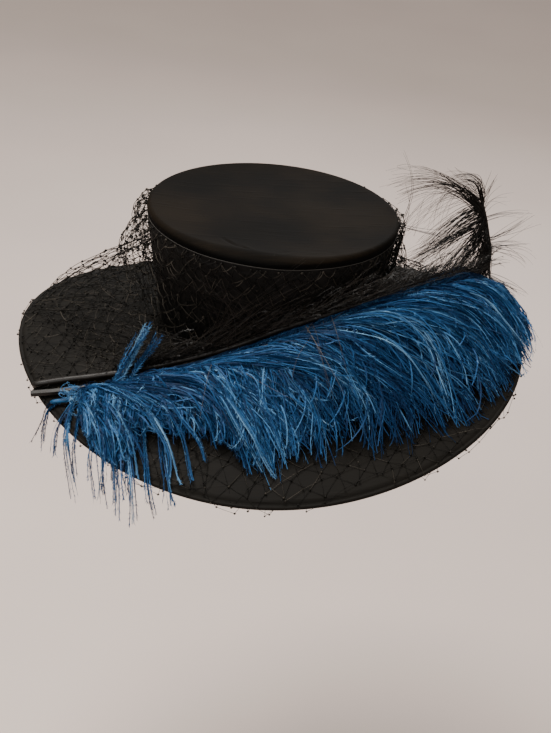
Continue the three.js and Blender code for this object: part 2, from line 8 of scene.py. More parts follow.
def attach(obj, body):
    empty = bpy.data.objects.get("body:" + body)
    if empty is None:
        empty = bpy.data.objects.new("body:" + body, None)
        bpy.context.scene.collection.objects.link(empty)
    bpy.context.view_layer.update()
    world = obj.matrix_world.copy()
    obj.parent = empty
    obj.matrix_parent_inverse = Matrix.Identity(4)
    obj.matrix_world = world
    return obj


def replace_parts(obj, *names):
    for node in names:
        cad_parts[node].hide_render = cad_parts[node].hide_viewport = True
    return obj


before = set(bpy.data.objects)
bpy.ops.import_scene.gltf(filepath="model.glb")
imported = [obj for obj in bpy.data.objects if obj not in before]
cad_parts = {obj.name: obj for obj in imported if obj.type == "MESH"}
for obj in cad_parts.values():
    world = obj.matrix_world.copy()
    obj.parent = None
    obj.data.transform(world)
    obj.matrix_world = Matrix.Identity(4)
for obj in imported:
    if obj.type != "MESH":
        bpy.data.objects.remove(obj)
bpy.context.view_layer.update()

MM = 0.001
TAU = 2 * math.pi

# Crown, in millimetres as all sizes here
CROWN_BASE = np.array([92.7, 88.2])
CROWN_TOP = np.array([112.0, 106.5])
CROWN_HEIGHT = 110.8
CROWN_SEAM = 102.0
CROWN_WALL = 2.0
CROWN_SECTORS = 256
SEAM_GAP = 0.3
# The edge of the silk that is laid double on the crown's side, and how far it lifts
BAND_EDGE = 95.5
BAND_LIFT = 0.7
# The crown's top: its dish, its rounded edge inward and down, and the dent in that edge
TIP_DISH = 3.2
TIP_EDGE = (4.5, 4.5)
TIP_DENT = (10.0, 3.2)
TIP_DENT_ANGLE = -104.0
TIP_DENT_SPREAD = 30.0
TOP_RINGS = 40
# Creases over the dent: angle, slope along the radius, first radius, last radius, depth
CREASES = (
    (-127, 95, 0.80, 0.965, 0.75),
    (-116, 70, 0.86, 0.99, 0.5),
    (-84, -60, 0.88, 0.99, 0.4),
    (-62, -35, 0.90, 0.99, 0.35),
)
CREASE_WIDTH = 1.6

# Brim
RIM_HALF = np.array([228.7, 214.4])
RIM_CENTRE = np.array([9.2, -5.6])
RIM_DROP = -27.7
RIM_SADDLE = 18.5
RIM_TWIST = -1.5
RIM_LIFT_RIGHT = 12.0
RIM_LIFT_BACK = 9.2
BRIM_POWER = 1.5
BRIM_THICK = 2.4
BRIM_SECTORS = 320
# The wire in the rim, as the radius of the bead that it makes
RIM_BEAD = 1.9
COLLAR_HEIGHT = 4.0
COLLAR_WALL = 2.0

# Net: where the gathered layers stand off the crown, in degrees, and how far that goes either way
NET_OPEN_ANGLE = 100
NET_OPEN_RIGHT = 108
NET_OPEN_LEFT = 94
NET_OPEN_POWER = 8
# The inner layer stands off everywhere but round this angle
INNER_FLAT_ANGLE = -78
INNER_FLAT_SPREAD = 62
# A layer's height at the crown's edge, its length from there, and where it turns out on the brim
NET_TOP = 102
NET_FALL = 190
NET_TURN = 101
NET_CLEAR = 1.2
NET_JITTER = 0.7
NET_SLACK = 0.1
# From the crown's edge to the rim: how far off the crown the net lies, and how high over the brim
NET_PROFILE = np.array([
    (3, 103), (10, 104), (14, 96), (14, 87), (16, 80), (25, 76), (31, 67), (32, 56),
    (38, 47), (52, 41), (72, 32), (92, 22), (108, 11), (116, 1),
], dtype=float)
# The net that lies flat on the brim: half a diamond's angle, its thread, knots and sag
FLAT_SLANT = 0.72
FLAT_REACH = 250
FLAT_THREAD = 0.19
FLAT_KNOT = 1.05
FLAT_SAG = 0.3
# How far a loop that passes the rim hangs down, for each share of the brim that it goes past it
LOOP_DROP = 130

# A knot: an octahedron
KNOT_CORNERS = np.array([(1, 0, 0), (-1, 0, 0), (0, 1, 0), (0, -1, 0), (0, 0, 1), (0, 0, -1)])
KNOT_FACES = np.array([
    (0, 2, 4), (2, 1, 4), (1, 3, 4), (3, 0, 4), (2, 0, 5), (1, 2, 5), (3, 1, 5), (0, 3, 5),
])

# Barbs: how much they narrow, their twist and their change of tone along the barb, darker at the root and
# lighter toward the tip as painted light and shade
BARB_TAPER = 0.45
BARB_TWIST = 2.2
BARB_TIP_LIGHT = 0.22
# Barbules: half their width at the root, how much they shorten toward the tip, and their droop
BARBULE_HALF = 0.46
BARBULE_SHORTEN = 0.2
BARBULE_DROOP = 0.12

# Blue plume, along its quill: x, y and z of the quill, then back, rise, reach and sweep of the barbs
PLUME_LENGTH = 440
PLUME_TABLE = np.array([
    (-163, -117, -24, 3, 1, 14, 0),
    (-140, -117, -18, 8, 3, 46, 2),
    (-109, -116, -9, 12, 6, 66, 6),
    (-60, -113, 5, 8, 7, 72, 14),
    (-19, -112, 21, 12, 9, 80, 24),
    (22, -109, 39, 10, 9, 80, 32),
    (65, -97, 52, 9, 8, 84, 36),
    (111, -68, 56, 9, 6, 88, 32),
    (152, -32, 53, 15, 6, 86, 24),
    (188, 2, 44, 22, 5, 74, 16),
    (212, 28, 28, 18, 3, 48, 10),
    (226, 46, 15, 6, 0, 16, 4),
], dtype=float)
PLUME_RIDGE = 4.0
# Along the plume, how far the barbs' tips go, as a share of the table's reach
TIP_LINE = np.array([
    (0.00, 1.20), (0.12, 1.20), (0.16, 1.00), (0.19, 0.70), (0.255, 0.79), (0.32, 0.85), (0.36, 0.99),
    (0.40, 1.07), (0.415, 0.86), (0.43, 0.97), (0.50, 0.98), (0.60, 1.01), (0.70, 1.02), (1.00, 1.00),
])

# The photo's view of the hat: angles in radians, and the focal length in pixels
VIEW_AZIMUTH = -0.116
VIEW_RISE = 0.513
VIEW_ROLL = 0.110
VIEW_DISTANCE = 1398.5
VIEW_TARGET = np.array([16.67, 0, -49.03])
VIEW_FOCAL = 1500
PHOTO_HEIGHT = 733
SENSOR_HEIGHT = 36

# Floor and light, in metres, with the lights' place, target, size, power and colour
FLOOR_Z = -0.62
FLOOR_HALF = 7.0
SKY_COLOUR = (0.95, 0.90, 0.86, 1)
SKY_STRENGTH = 0.42
LIGHTS = (
    ("key", (-0.6, 0.15, 1.9), (0, 0, 0), 1.0, 56, (1.0, 0.96, 0.91)),
    ("front", (-0.9, -1.7, 1.5), (0, 0, 0), 0.9, 17, (1.0, 0.97, 0.94)),
    ("back", (0.6, 1.8, 0.9), (0, 0, 0.05), 1.0, 16, (0.95, 0.97, 1.0)),
)


# Numbers

def rng_for(seed):
    return np.random.default_rng(seed)


def smooth(edge0, edge1, x):
    t = np.clip((x - edge0) / (edge1 - edge0), 0, 1)
    return t * t * (3 - 2 * t)


def between(ends, share):
    return ends[0] + (ends[1] - ends[0]) * share


def degrees_off(angle, centre):
    """How far an angle in radians is from a centre in degrees, between -180 and 180."""
    return (np.degrees(angle) - centre + 180) % 360 - 180


def unit(v):
    return v / np.maximum(np.linalg.norm(v, axis=-1, keepdims=True), 1e-9)


def spline(rows, t):
    """Catmull-Rom through the rows of a table, at t from 0 to len(rows) - 1."""
    rows = np.asarray(rows, dtype=float)
    t = np.clip(np.asarray(t, dtype=float), 0, len(rows) - 1)
    i = np.minimum(t.astype(int), len(rows) - 2)
    f = (t - i)[..., None]
    p1, p2 = rows[i], rows[i + 1]
    p0 = rows[np.maximum(i - 1, 0)]
    p3 = rows[np.minimum(i + 2, len(rows) - 1)]
    p0 = np.where((i == 0)[..., None], 2 * p1 - p2, p0)
    p3 = np.where((i == len(rows) - 2)[..., None], 2 * p2 - p1, p3)
    return 0.5 * (2 * p1 + (p2 - p0) * f + (2 * p0 - 5 * p1 + 4 * p2 - p3) * f ** 2
                  + (3 * p1 - p0 - 3 * p2 + p3) * f ** 3)


# The hat's surfaces

def crown_half(z):
    k = np.asarray(z, dtype=float)[..., None] / CROWN_HEIGHT
    return CROWN_BASE + (CROWN_TOP - CROWN_BASE) * k


def crown_point(angle, z, inset):
    """A point on the crown's side, or so far inside it."""
    angle, z, inset = np.broadcast_arrays(np.asarray(angle, float), z, inset)
    half = crown_half(z) - inset[..., None]
    return np.stack([half[..., 0] * np.cos(angle), half[..., 1] * np.sin(angle), z], axis=-1)


def rim_height(angle):
    return (RIM_DROP + RIM_SADDLE * np.cos(2 * angle) + RIM_TWIST * np.cos(3 * angle)
            + RIM_LIFT_RIGHT * np.cos(angle) + RIM_LIFT_BACK * np.sin(angle))


def brim_point(angle, reach):
    """A point of the brim's top: reach is 0 at the crown and 1 at the rim."""
    angle, reach = np.broadcast_arrays(np.asarray(angle, float), np.asarray(reach, float))
    circle = np.stack([np.cos(angle), np.sin(angle)], axis=-1)
    inner = CROWN_BASE * circle
    outer = RIM_CENTRE + RIM_HALF * circle
    xy = inner + (outer - inner) * reach[..., None]
    z = rim_height(angle) * np.maximum(reach, 0) ** BRIM_POWER
    return np.concatenate([xy, z[..., None]], axis=-1)


def brim_spot(xy):
    """The angle and reach on the brim that lie over or under points in plan."""
    xy = np.asarray(xy, dtype=float)
    low = np.zeros(xy.shape[:-1])
    high = np.full(xy.shape[:-1], 1.8)

    def local(s):
        s = s[..., None]
        return (xy - s * RIM_CENTRE) / (CROWN_BASE + (RIM_HALF - CROWN_BASE) * s)

    for _ in range(26):
        middle = (low + high) / 2
        outside = (local(middle) ** 2).sum(axis=-1) > 1
        low = np.where(outside, middle, low)
        high = np.where(outside, high, middle)
    at = local(low)
    return np.arctan2(at[..., 1], at[..., 0]), low


def brim_top(xy):
    angle, reach = brim_spot(xy)
    return rim_height(angle) * reach ** BRIM_POWER


# Meshes from arrays

def make_mesh(name, verts, faces, material, slot, soft=True, **values):
    """A piece that rides on the hat, with a value for each vertex under each further name."""
    mesh = bpy.data.meshes.new(name)
    verts = np.asarray(verts, dtype=np.float32).reshape(-1, 3) * MM
    faces = np.asarray(faces, dtype=np.int32)
    count, sides = faces.shape
    mesh.vertices.add(len(verts))
    mesh.vertices.foreach_set("co", verts.ravel())
    mesh.loops.add(count * sides)
    mesh.loops.foreach_set("vertex_index", faces.ravel())
    mesh.polygons.add(count)
    mesh.polygons.foreach_set("loop_start", np.arange(0, count * sides, sides, dtype=np.int32))
    mesh.polygons.foreach_set("use_smooth", np.full(count, soft))
    mesh.update(calc_edges=True)
    for key, value in values.items():
        layer = mesh.attributes.new(key, "FLOAT", "POINT")
        layer.data.foreach_set("value", np.asarray(value, dtype=np.float32).ravel())
    mesh.materials.append(material)
    obj = bpy.data.objects.new(name, mesh)
    bpy.context.scene.collection.objects.link(obj)
    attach(obj, "root")
    return obj


def around(count):
    return np.arange(count) * TAU / count


def ring_mesh(name, rings, material, slot, **values):
    """A closed form from rings that follow each other, the last one joined to the first."""
    verts = np.stack(rings)
    faces = as_triangles(grid_faces(*verts.shape[:2], True, True))
    return make_mesh(name, verts, faces, material, slot, **values)


def grid_faces(rows, columns, closed_rows, closed_columns):
    """Quads of a grid of rows by columns, wrapped where it is closed."""
    r = np.arange(rows if closed_rows else rows - 1)
    c = np.arange(columns if closed_columns else columns - 1)
    r, c = np.meshgrid(r, c, indexing="ij")
    r2, c2 = (r + 1) % rows, (c + 1) % columns
    quads = np.stack([r * columns + c, r * columns + c2, r2 * columns + c2, r2 * columns + c], axis=-1)
    return quads.reshape(-1, 4)


def as_triangles(quads):
    return np.concatenate([quads[:, [0, 1, 2]], quads[:, [0, 2, 3]]])


def copies(faces, count, size):
    """Faces repeated for so many like parts of so many vertices each."""
    return (faces[None] + (np.arange(count) * size)[:, None, None]).reshape(-1, 3)


def closed_faces(rings, sides):
    """Triangles of a tube of rings of so many sides, with both ends closed."""
    body = as_triangles(grid_faces(rings, sides, False, True))
    fan = np.array([(0, k + 1, k) for k in range(1, sides - 1)])
    return np.concatenate([body, fan, fan[:, ::-1] + (rings - 1) * sides])


def tubes(paths, radius, sides):
    """Closed tubes along paths of shape (n, steps, 3), with a radius for each point."""
    paths = np.asarray(paths, dtype=float)
    n, steps, _ = paths.shape
    radius = np.broadcast_to(radius, (n, steps))
    tangent = unit(np.gradient(paths, axis=1))
    ref = np.where(np.abs(tangent[..., 2:3]) > 0.9, np.array([1.0, 0, 0]), np.array([0, 0, 1.0]))
    ref = np.broadcast_to(ref[:, :1], ref.shape)
    side = unit(np.cross(tangent, ref))
    other = np.cross(side, tangent)
    turn = around(sides)
    ring = (side[:, :, None] * np.cos(turn)[:, None] + other[:, :, None] * np.sin(turn)[:, None])
    verts = paths[:, :, None] + ring * radius[:, :, None, None]
    return verts.reshape(-1, 3), copies(closed_faces(steps, sides), n, steps * sides)


# Materials

class Shader:
    """A node material, built with short calls."""

    def __init__(self, name):
        self.material = bpy.data.materials.new(name)
        self.material.use_nodes = True
        self.tree = self.material.node_tree
        self.shader = self.tree.nodes["Principled BSDF"]

    def add(self, kind, **inputs):
        node = self.tree.nodes.new(kind)
        for key, value in inputs.items():
            self.put(node, key, value)
        return node

    def put(self, node, key, value):
        socket = node.inputs[key]
        if isinstance(value, bpy.types.NodeSocket):
            self.tree.links.new(value, socket)
        else:
            socket.default_value = value

    def attribute(self, name):
        node = self.add("ShaderNodeAttribute")
        node.attribute_name = name
        return node.outputs["Fac"]

    def ramp(self, source, stops):
        node = self.add("ShaderNodeValToRGB", Fac=source)
        ramp = node.color_ramp
        while len(ramp.elements) < len(stops):
            ramp.elements.new(0.5)
        for element, (at, colour) in zip(ramp.elements, stops):
            element.position = at
            element.color = (*colour, 1)
        return node.outputs["Color"]

    def noise(self, scale, detail, stretch=(1, 1, 1), turn=0.0):
        """Noise in the piece's own space, stretched along its axes and turned in plan."""
        place = self.add("ShaderNodeTexCoord").outputs["Object"]
        mapped = self.add("ShaderNodeMapping", Vector=place, Scale=stretch, Rotation=(0, 0, turn))
        node = self.add("ShaderNodeTexNoise", Scale=scale, Detail=detail, Roughness=0.55)
        self.put(node, "Vector", mapped.outputs["Vector"])
        return node.outputs["Fac"]

    def math(self, operation, a, b):
        node = self.tree.nodes.new("ShaderNodeMath")
        node.operation = operation
        self.put(node, 0, a)
        self.put(node, 1, b)
        return node.outputs[0]

    def bump(self, height, strength, distance, **under):
        node = self.add("ShaderNodeBump", Strength=strength, Distance=distance, Height=height, **under)
        return node.outputs["Normal"]

    def finish(self, **inputs):
        """The material, with its shader's inputs set; an underscore stands for a space."""
        for key, value in inputs.items():
            self.put(self.shader, key.replace("_", " "), value)
        return self.material


def silk(name, stops, rough, turn, specular=0.15, mottle_and_shade=0.6):
    """Black slubbed silk: fine threads across, with a few thick ones, and darker over a turned edge as
    painted shade.
    """
    s = Shader(name)
    threads = s.noise(1.0, 4.0, (40, 900, 400), turn)
    slubs = s.noise(1.0, 2.0, (16, 260, 120), turn)
    # Broad cloudy mottling; on the crown's top, where it is strongest, it is painted shade of the soft dents
    # in the silk
    cloud = s.noise(11.0, 2.0)
    weave = s.noise(1500.0, 1.0)
    thick = s.ramp(slubs, [(0.56, (0, 0, 0)), (0.7, (1, 1, 1))])
    # edge: the turned edge of the crown's top, where the colour is darkened as painted shade of the rounding
    # that turns away from the light
    edge = s.attribute("edge")
    shade = s.math("ADD", s.math("MULTIPLY", cloud, mottle_and_shade), s.math("MULTIPLY", threads, 1 - mottle_and_shade))
    shade = s.math("SUBTRACT", shade, s.math("MULTIPLY", edge, 0.5))
    colour = s.ramp(shade, stops)
    fine = s.bump(s.math("ADD", threads, s.math("MULTIPLY", weave, 0.5)), 0.3, 0.0003)
    relief = s.bump(thick, 0.35, 0.0004, Normal=fine)
    return s.finish(Base_Color=colour, Roughness=rough, Specular_IOR_Level=specular, Normal=relief)


def strand_look(name, stops, rough, specular=0.3):
    """A look for threads and barbs: each strand has its own tone and a change along it."""
    s = Shader(name)
    tone = s.attribute("tone")
    cloud = s.noise(60.0, 2.0)
    shade = s.math("ADD", s.math("MULTIPLY", tone, 0.8), s.math("MULTIPLY", cloud, 0.2))
    colour = s.ramp(shade, stops)
    grain = s.bump(s.noise(900.0, 2.0), 0.2, 0.0002)
    return s.finish(Base_Color=colour, Roughness=rough, Specular_IOR_Level=specular, Normal=grain)


def horn(name, dark, light):
    """Quill horn: streaked along its length, glossy."""
    s = Shader(name)
    streak = s.noise(1.0, 3.0, (30, 700, 700))
    colour = s.ramp(streak, [(0.35, dark), (0.75, light)])
    rough = s.math("ADD", 0.3, s.math("MULTIPLY", streak, 0.25))
    relief = s.bump(streak, 0.25, 0.0003)
    return s.finish(Base_Color=colour, Roughness=rough, Specular_IOR_Level=0.3, Normal=relief)


def floor_look():
    s = Shader("pale_floor")
    colour = s.ramp(s.noise(3.0, 2.0), [(0.3, (0.80, 0.67, 0.60)), (0.7, (0.84, 0.705, 0.63))])
    return s.finish(Base_Color=colour, Roughness=0.85)


# On the crown's top the near-black first stop is reached only over the turned edge, as painted shade
TOP_SILK = silk("crown_top_silk", [
    (0.0, (0.0006, 0.0006, 0.0006)),
    (0.40, (0.0025, 0.0017, 0.0009)),
    (0.62, (0.0094, 0.0062, 0.0033)),
# Strongest mottling here: partly painted shade of soft dents in the top
], rough=0.78, turn=0.05, specular=0.06, mottle_and_shade=0.7)
SIDE_SILK = silk("crown_side_silk", [
    (0.3, (0.0028, 0.0026, 0.0025)),
    (0.72, (0.0062, 0.0057, 0.0052)),
], rough=0.65, turn=0.0)
BRIM_SILK = silk("brim_silk", [
    (0.3, (0.0032, 0.0025, 0.0016)),
    (0.72, (0.0086, 0.0070, 0.0048)),
], rough=0.68, turn=0.2)
# Black net: the brown end of its tones is painted highlight on threads and knots that catch the light
NET_LOOK = strand_look("black_net", [
    (0.0, (0.0012, 0.0012, 0.0012)),
    (0.55, (0.009, 0.0078, 0.006)),
    (1.0, (0.095, 0.082, 0.066)),
], rough=0.6, specular=0.15)
SEAM_LOOK = strand_look("seam_thread", [
    (0.0, (0.03, 0.028, 0.025)),
    (1.0, (0.06, 0.056, 0.05)),
], rough=0.6)
# Blue barbs: the two palest stops are painted highlights on barbs that catch the light, the darkest is
# painted shade deep among them, and the blues between are the feather's own
BLUE_LOOK = strand_look("blue_barbs", [
    (0.0, (0.0006, 0.0060, 0.024)),
    (0.35, (0.0040, 0.028, 0.089)),
    (0.62, (0.0200, 0.092, 0.238)),
    (0.85, (0.088, 0.232, 0.42)),
    (1.0, (0.29, 0.49, 0.66)),
], rough=0.5, specular=0.14)
# Deep navy for the sheet under the barbs: painted shade between them
BLUE_DEPTH_SHADE = strand_look("blue_depth_shade", [
    (0.0, (0.0005, 0.004, 0.014)),
    (1.0, (0.002, 0.017, 0.05)),
], rough=0.9, specular=0.1)
# Black barbs: the brown end of their tones is painted light on barbs that catch it
BLACK_BARBS = strand_look("black_barbs", [
    (0.0, (0.0015, 0.0014, 0.0014)),
    (1.0, (0.022, 0.017, 0.013)),
], rough=0.4)
# Pale tan for black barbs that catch the light: a painted highlight
HIGHLIGHT_BARBS = strand_look("highlight_barbs", [
    (0.0, (0.06, 0.05, 0.045)),
    (1.0, (0.24, 0.21, 0.18)),
], rough=0.5)
BLACK_HORN = horn("black_horn", (0.003, 0.0025, 0.0022), (0.016, 0.011, 0.008))
BLUE_HORN = horn("blue_horn", (0.004, 0.045, 0.13), (0.02, 0.14, 0.32))


# Crown

def tip_edge(angle):
    """How far the edge of the crown's top is rounded inward and down."""
    dent = np.exp(-(degrees_off(angle, TIP_DENT_ANGLE) / TIP_DENT_SPREAD) ** 2)
    return TIP_EDGE[0] + TIP_DENT[0] * dent, TIP_EDGE[1] + TIP_DENT[1] * dent


def tip_relief(angle, radius):
    """The dish of the crown's top, with a slow swell and a faint ripple in its silk."""
    dish = -TIP_DISH * (1 - radius ** 4)
    swell = 2.7 * np.sin(2 * angle + 0.6) * radius ** 2 * (1 - radius)
    ripple = 0.35 * np.sin(3.1 * angle + 5 * radius) * radius * (1 - radius) ** 0.5
    return dish + swell + ripple


def pull_wrinkles(angle, radius):
    """Short creases where the silk is pulled over the dent in the front edge."""
    total = np.zeros_like(radius)
    for start, slope, low, high, depth in CREASES:
        turn = degrees_off(angle, start + slope * (radius - low))
        fade = smooth(low, low + 0.05, radius) * (1 - smooth(high - 0.02, high + 0.01, radius))
        total -= depth * fade * np.exp(-(turn / CREASE_WIDTH) ** 2)
        total += 0.5 * depth * fade * np.exp(-((turn - 3.4) / 2.2) ** 2)
    return total


def crown_tip():
    """The crown's top, rounded over its edge and turned down to the seam; the silk is darkened over the
    rounding as painted shade.
    """
    angle = around(CROWN_SECTORS)
    inward, down = tip_edge(angle)

    def top_ring(radius, offset):
        half = CROWN_TOP[None] - inward[:, None]
        xy = half * radius * np.stack([np.cos(angle), np.sin(angle)], axis=-1)
        r = np.full(CROWN_SECTORS, radius)
        z = CROWN_HEIGHT + tip_relief(angle, r) + offset + (pull_wrinkles(angle, r) if offset == 0 else 0)
        return np.concatenate([xy, z[:, None]], axis=-1)

    def edge_ring(turn, wall):
        bend = turn * math.pi / 2
        z = CROWN_HEIGHT - down + (down - wall) * math.cos(bend)
        return crown_point(angle, z, inward - (inward - wall) * math.sin(bend))

    low = CROWN_SEAM + SEAM_GAP / 2
    spread = 1 - (1 - np.linspace(0.02, 0.99, TOP_RINGS)) ** 1.25
    rings = [top_ring(r, 0) for r in np.concatenate([[0.001, 0.003], spread])]
    rings += [edge_ring(t, 0) for t in np.linspace(0.05, 1, 9)]
    side_z = (CROWN_HEIGHT - down)[None] + (low - (CROWN_HEIGHT - down)) * np.array([[0.5], [1.0]])
    rings += [crown_point(angle, z, 0.0) for z in side_z]
    rings += [crown_point(angle, low, CROWN_WALL), edge_ring(1, CROWN_WALL), edge_ring(0.3, CROWN_WALL)]
    rings += [top_ring(0.7, -CROWN_WALL), top_ring(0.001, -CROWN_WALL)]
    # The last few rings and the turned edge carry painted shade, deeper the lower they lie below the top
    outer = np.arange(len(rings))[:, None] > TOP_RINGS - 4
    turned = smooth(1.2, 5.5, CROWN_HEIGHT - 1.0 - np.stack(rings)[..., 2]) * outer
    return ring_mesh("crown_top", rings, TOP_SILK, "crown_top_silk", edge=turned)


def crown_side():
    """The side: its silk is laid double below a fold near the top, and pulls into faint ripples."""
    angle = around(CROWN_SECTORS)
    high = CROWN_SEAM - SEAM_GAP / 2
    top_rows = [93, 94.6, BAND_EDGE, BAND_EDGE + 0.35, 98, 100, high]
    rings = []
    for z in np.concatenate([np.linspace(SEAM_GAP, 90, 16), top_rows]):
        wave = 0.25 * np.sin(11 * angle + z / 19) + 0.18 * np.sin(23 * angle - z / 11)
        edge = BAND_EDGE + 0.7 * np.sin(2 * angle + 1.1)
        band = BAND_LIFT * (1 - smooth(edge - 0.4, edge + 0.4, z)) * smooth(0.3, 6, z)
        rings.append(crown_point(angle, z, -band - 0.5 * wave * smooth(1, 30, z) * (1 - smooth(80, 94, z))))
    rings += [crown_point(angle, z, CROWN_WALL) for z in (high, 50, SEAM_GAP)]
    return ring_mesh("crown_wall", rings, SIDE_SILK, "crown_side_silk")


def seam_thread():
    """The pale thread that shows in the seam round the top of the crown."""
    angle = np.linspace(0, TAU, 181)[:-1]
    path = crown_point(angle, CROWN_SEAM + 0.15 * np.sin(9 * angle), -0.12)
    path = np.concatenate([path, path[:1]])
    verts, faces = tubes(path[None], 0.28, 5)
    make_mesh("seam_thread", verts, faces, SEAM_LOOK, "crown_side_silk", tone=np.full(len(verts), 0.9))


# Brim

def brim():
    """The brim's silk, top and underside, round the wire in its rim, with the collar in the crown."""
    angle = around(BRIM_SECTORS)
    collar_out = CROWN_WALL + SEAM_GAP
    collar_in = collar_out + COLLAR_WALL

    def ring_at(inset, z):
        ring = crown_point(angle, 0.0, inset)
        ring[:, 2] = z
        return ring

    rim = brim_point(angle, 1.0)
    outward = rim - brim_point(angle, 0.0)
    outward[:, 2] = 0
    outward = unit(outward)

    def near(inward, up):
        ring = rim - outward * inward
        ring[:, 2] += up
        return ring

    def soft_waves(ring, reach):
        wave = 0.35 * np.sin(9 * angle + 4 * reach) + 0.25 * np.sin(17 * angle - 6 * reach)
        ring[:, 2] += wave * reach * (1 - reach)
        return ring

    rings = [ring_at(collar_in, COLLAR_HEIGHT), ring_at(collar_out, COLLAR_HEIGHT), ring_at(collar_out, 0)]
    steps = np.linspace(0, 0.975, 34)
    rings += [soft_waves(brim_point(angle, s), s) for s in steps]
    for turn in np.linspace(0, 1, 11):
        swing = math.pi * (turn * 1.5 - 0.25)
        inward, up = RIM_BEAD - RIM_BEAD * math.sin(swing), RIM_BEAD * math.cos(swing)
        rings.append(near(inward, -BRIM_THICK / 2 + up))
    rings += [brim_point(angle, s) - np.array([0, 0, BRIM_THICK]) for s in steps[::-3]]
    rings.append(ring_at(collar_in, -BRIM_THICK))
    return ring_mesh("brim_cover", rings, BRIM_SILK, "brim_silk")


# Net

def net(name, nodes, links, seed, thread, knot, sag, puff=0.0, bends=3):
    """Knotted net: nodes (n, 3), and links (m, 2) between them, each bent at so many points."""
    rng = rng_for(seed)
    a, b = nodes[links[:, 0]], nodes[links[:, 1]]
    middle = (a + b) / 2 + rng.normal(0, sag * 0.6, a.shape)
    middle[:, 2] -= sag
    middle[:, :2] += unit(middle[:, :2]) * puff
    w = np.linspace(0, 1, bends)[None, :, None]
    bow = 4 * w * (1 - w)
    straight = a[:, None] * (1 - w) + b[:, None] * w
    paths = straight + (middle - (a + b) / 2)[:, None] * bow
    verts, faces = tubes(paths, thread, 3)
    used = np.unique(links)
    size = knot * rng.uniform(0.8, 1.25, (len(used), 1, 1))
    knots = (nodes[used][:, None] + KNOT_CORNERS * size).reshape(-1, 3)
    knot_faces = copies(KNOT_FACES, len(used), len(KNOT_CORNERS)) + len(verts)
    verts, faces = np.concatenate([verts, knots]), np.concatenate([faces, knot_faces])
    # Each thread and knot gets its own tone; the lighter ones are painted highlights on the black net
    tone = np.concatenate([
        np.repeat(rng.uniform(0, 1, len(links)) ** 1.6, 3 * bends),
        np.repeat(rng.uniform(0.1, 0.8, len(used)), len(KNOT_CORNERS)),
    ])
    return make_mesh(name, verts, faces, NET_LOOK, "net", tone=tone)


def diamond_links(rows, columns):
    """Links of a net of rows by columns round a ring, each second row half a column on."""
    links = []
    column = np.arange(columns)
    for row in range(rows - 1):
        shift = row % 2
        for step in (shift, shift - 1):
            above = (column + step) % columns
            links.append(np.stack([row * columns + column, (row + 1) * columns + above], axis=-1))
    return np.concatenate(links)


def net_open(angle):
    """0 where the net lies flat on the crown, at the front, and 1 where it stands off behind."""
    turn = degrees_off(angle, NET_OPEN_ANGLE)
    spread = np.where(turn < 0, NET_OPEN_RIGHT, NET_OPEN_LEFT)
    return np.exp(-(turn / spread) ** NET_OPEN_POWER)


def net_inner_open(angle):
    """The same for the inner layer, which reaches further round to the right."""
    return 1 - np.exp(-(degrees_off(angle, INNER_FLAT_ANGLE) / INNER_FLAT_SPREAD) ** 4)


def net_place(angle, k, opened, loose):
    """A gathered layer of net, from the crown's top edge at k = 0 out over the brim at k = 1."""
    wander = 0.18 * loose * np.sin(3 * angle + 0.7) + 0.10 * loose * np.sin(8 * angle + 2)
    profile = spline(NET_PROFILE, np.clip(k + wander * k * (1 - k), 0, 1) * (len(NET_PROFILE) - 1))
    fullness = 1 + 0.10 * np.sin(7 * angle) + 0.05 * np.sin(17 * angle)
    fallen = NET_FALL * np.clip(k, 0, 1)
    flat = np.maximum(NET_TOP - fallen, 1)
    off = (NET_CLEAR + profile[..., 0] * opened * fullness
           + 0.7 * np.maximum(fallen - NET_TURN, 0) * (1 - opened))
    high = flat + (profile[..., 1] - flat) * np.clip(opened, 0, 1)
    point = crown_point(angle, high, -off)
    for _ in range(2):
        floor = np.minimum(brim_top(point[..., :2]), 0)
        point = crown_point(angle, floor + high, -off)
    return point


def ring_nodes(rows, columns, opening, scale, loose, seed):
    """The knots of a gathered layer, each a little out of its place."""
    rng = rng_for(seed)
    row, column = np.meshgrid(np.arange(rows), np.arange(columns), indexing="ij")
    inner = (row > 0) & (row < rows - 1)
    angle = (column + (row % 2) / 2) / columns * TAU
    angle = angle + rng.normal(0, NET_SLACK, angle.shape) / columns * TAU
    height = row / (rows - 1) + rng.normal(0, NET_SLACK, row.shape) / rows * inner
    nodes = net_place(angle, height, opening(angle) * scale, loose)
    nodes += rng.normal(0, NET_JITTER, nodes.shape) * inner[..., None]
    return nodes.reshape(-1, 3)


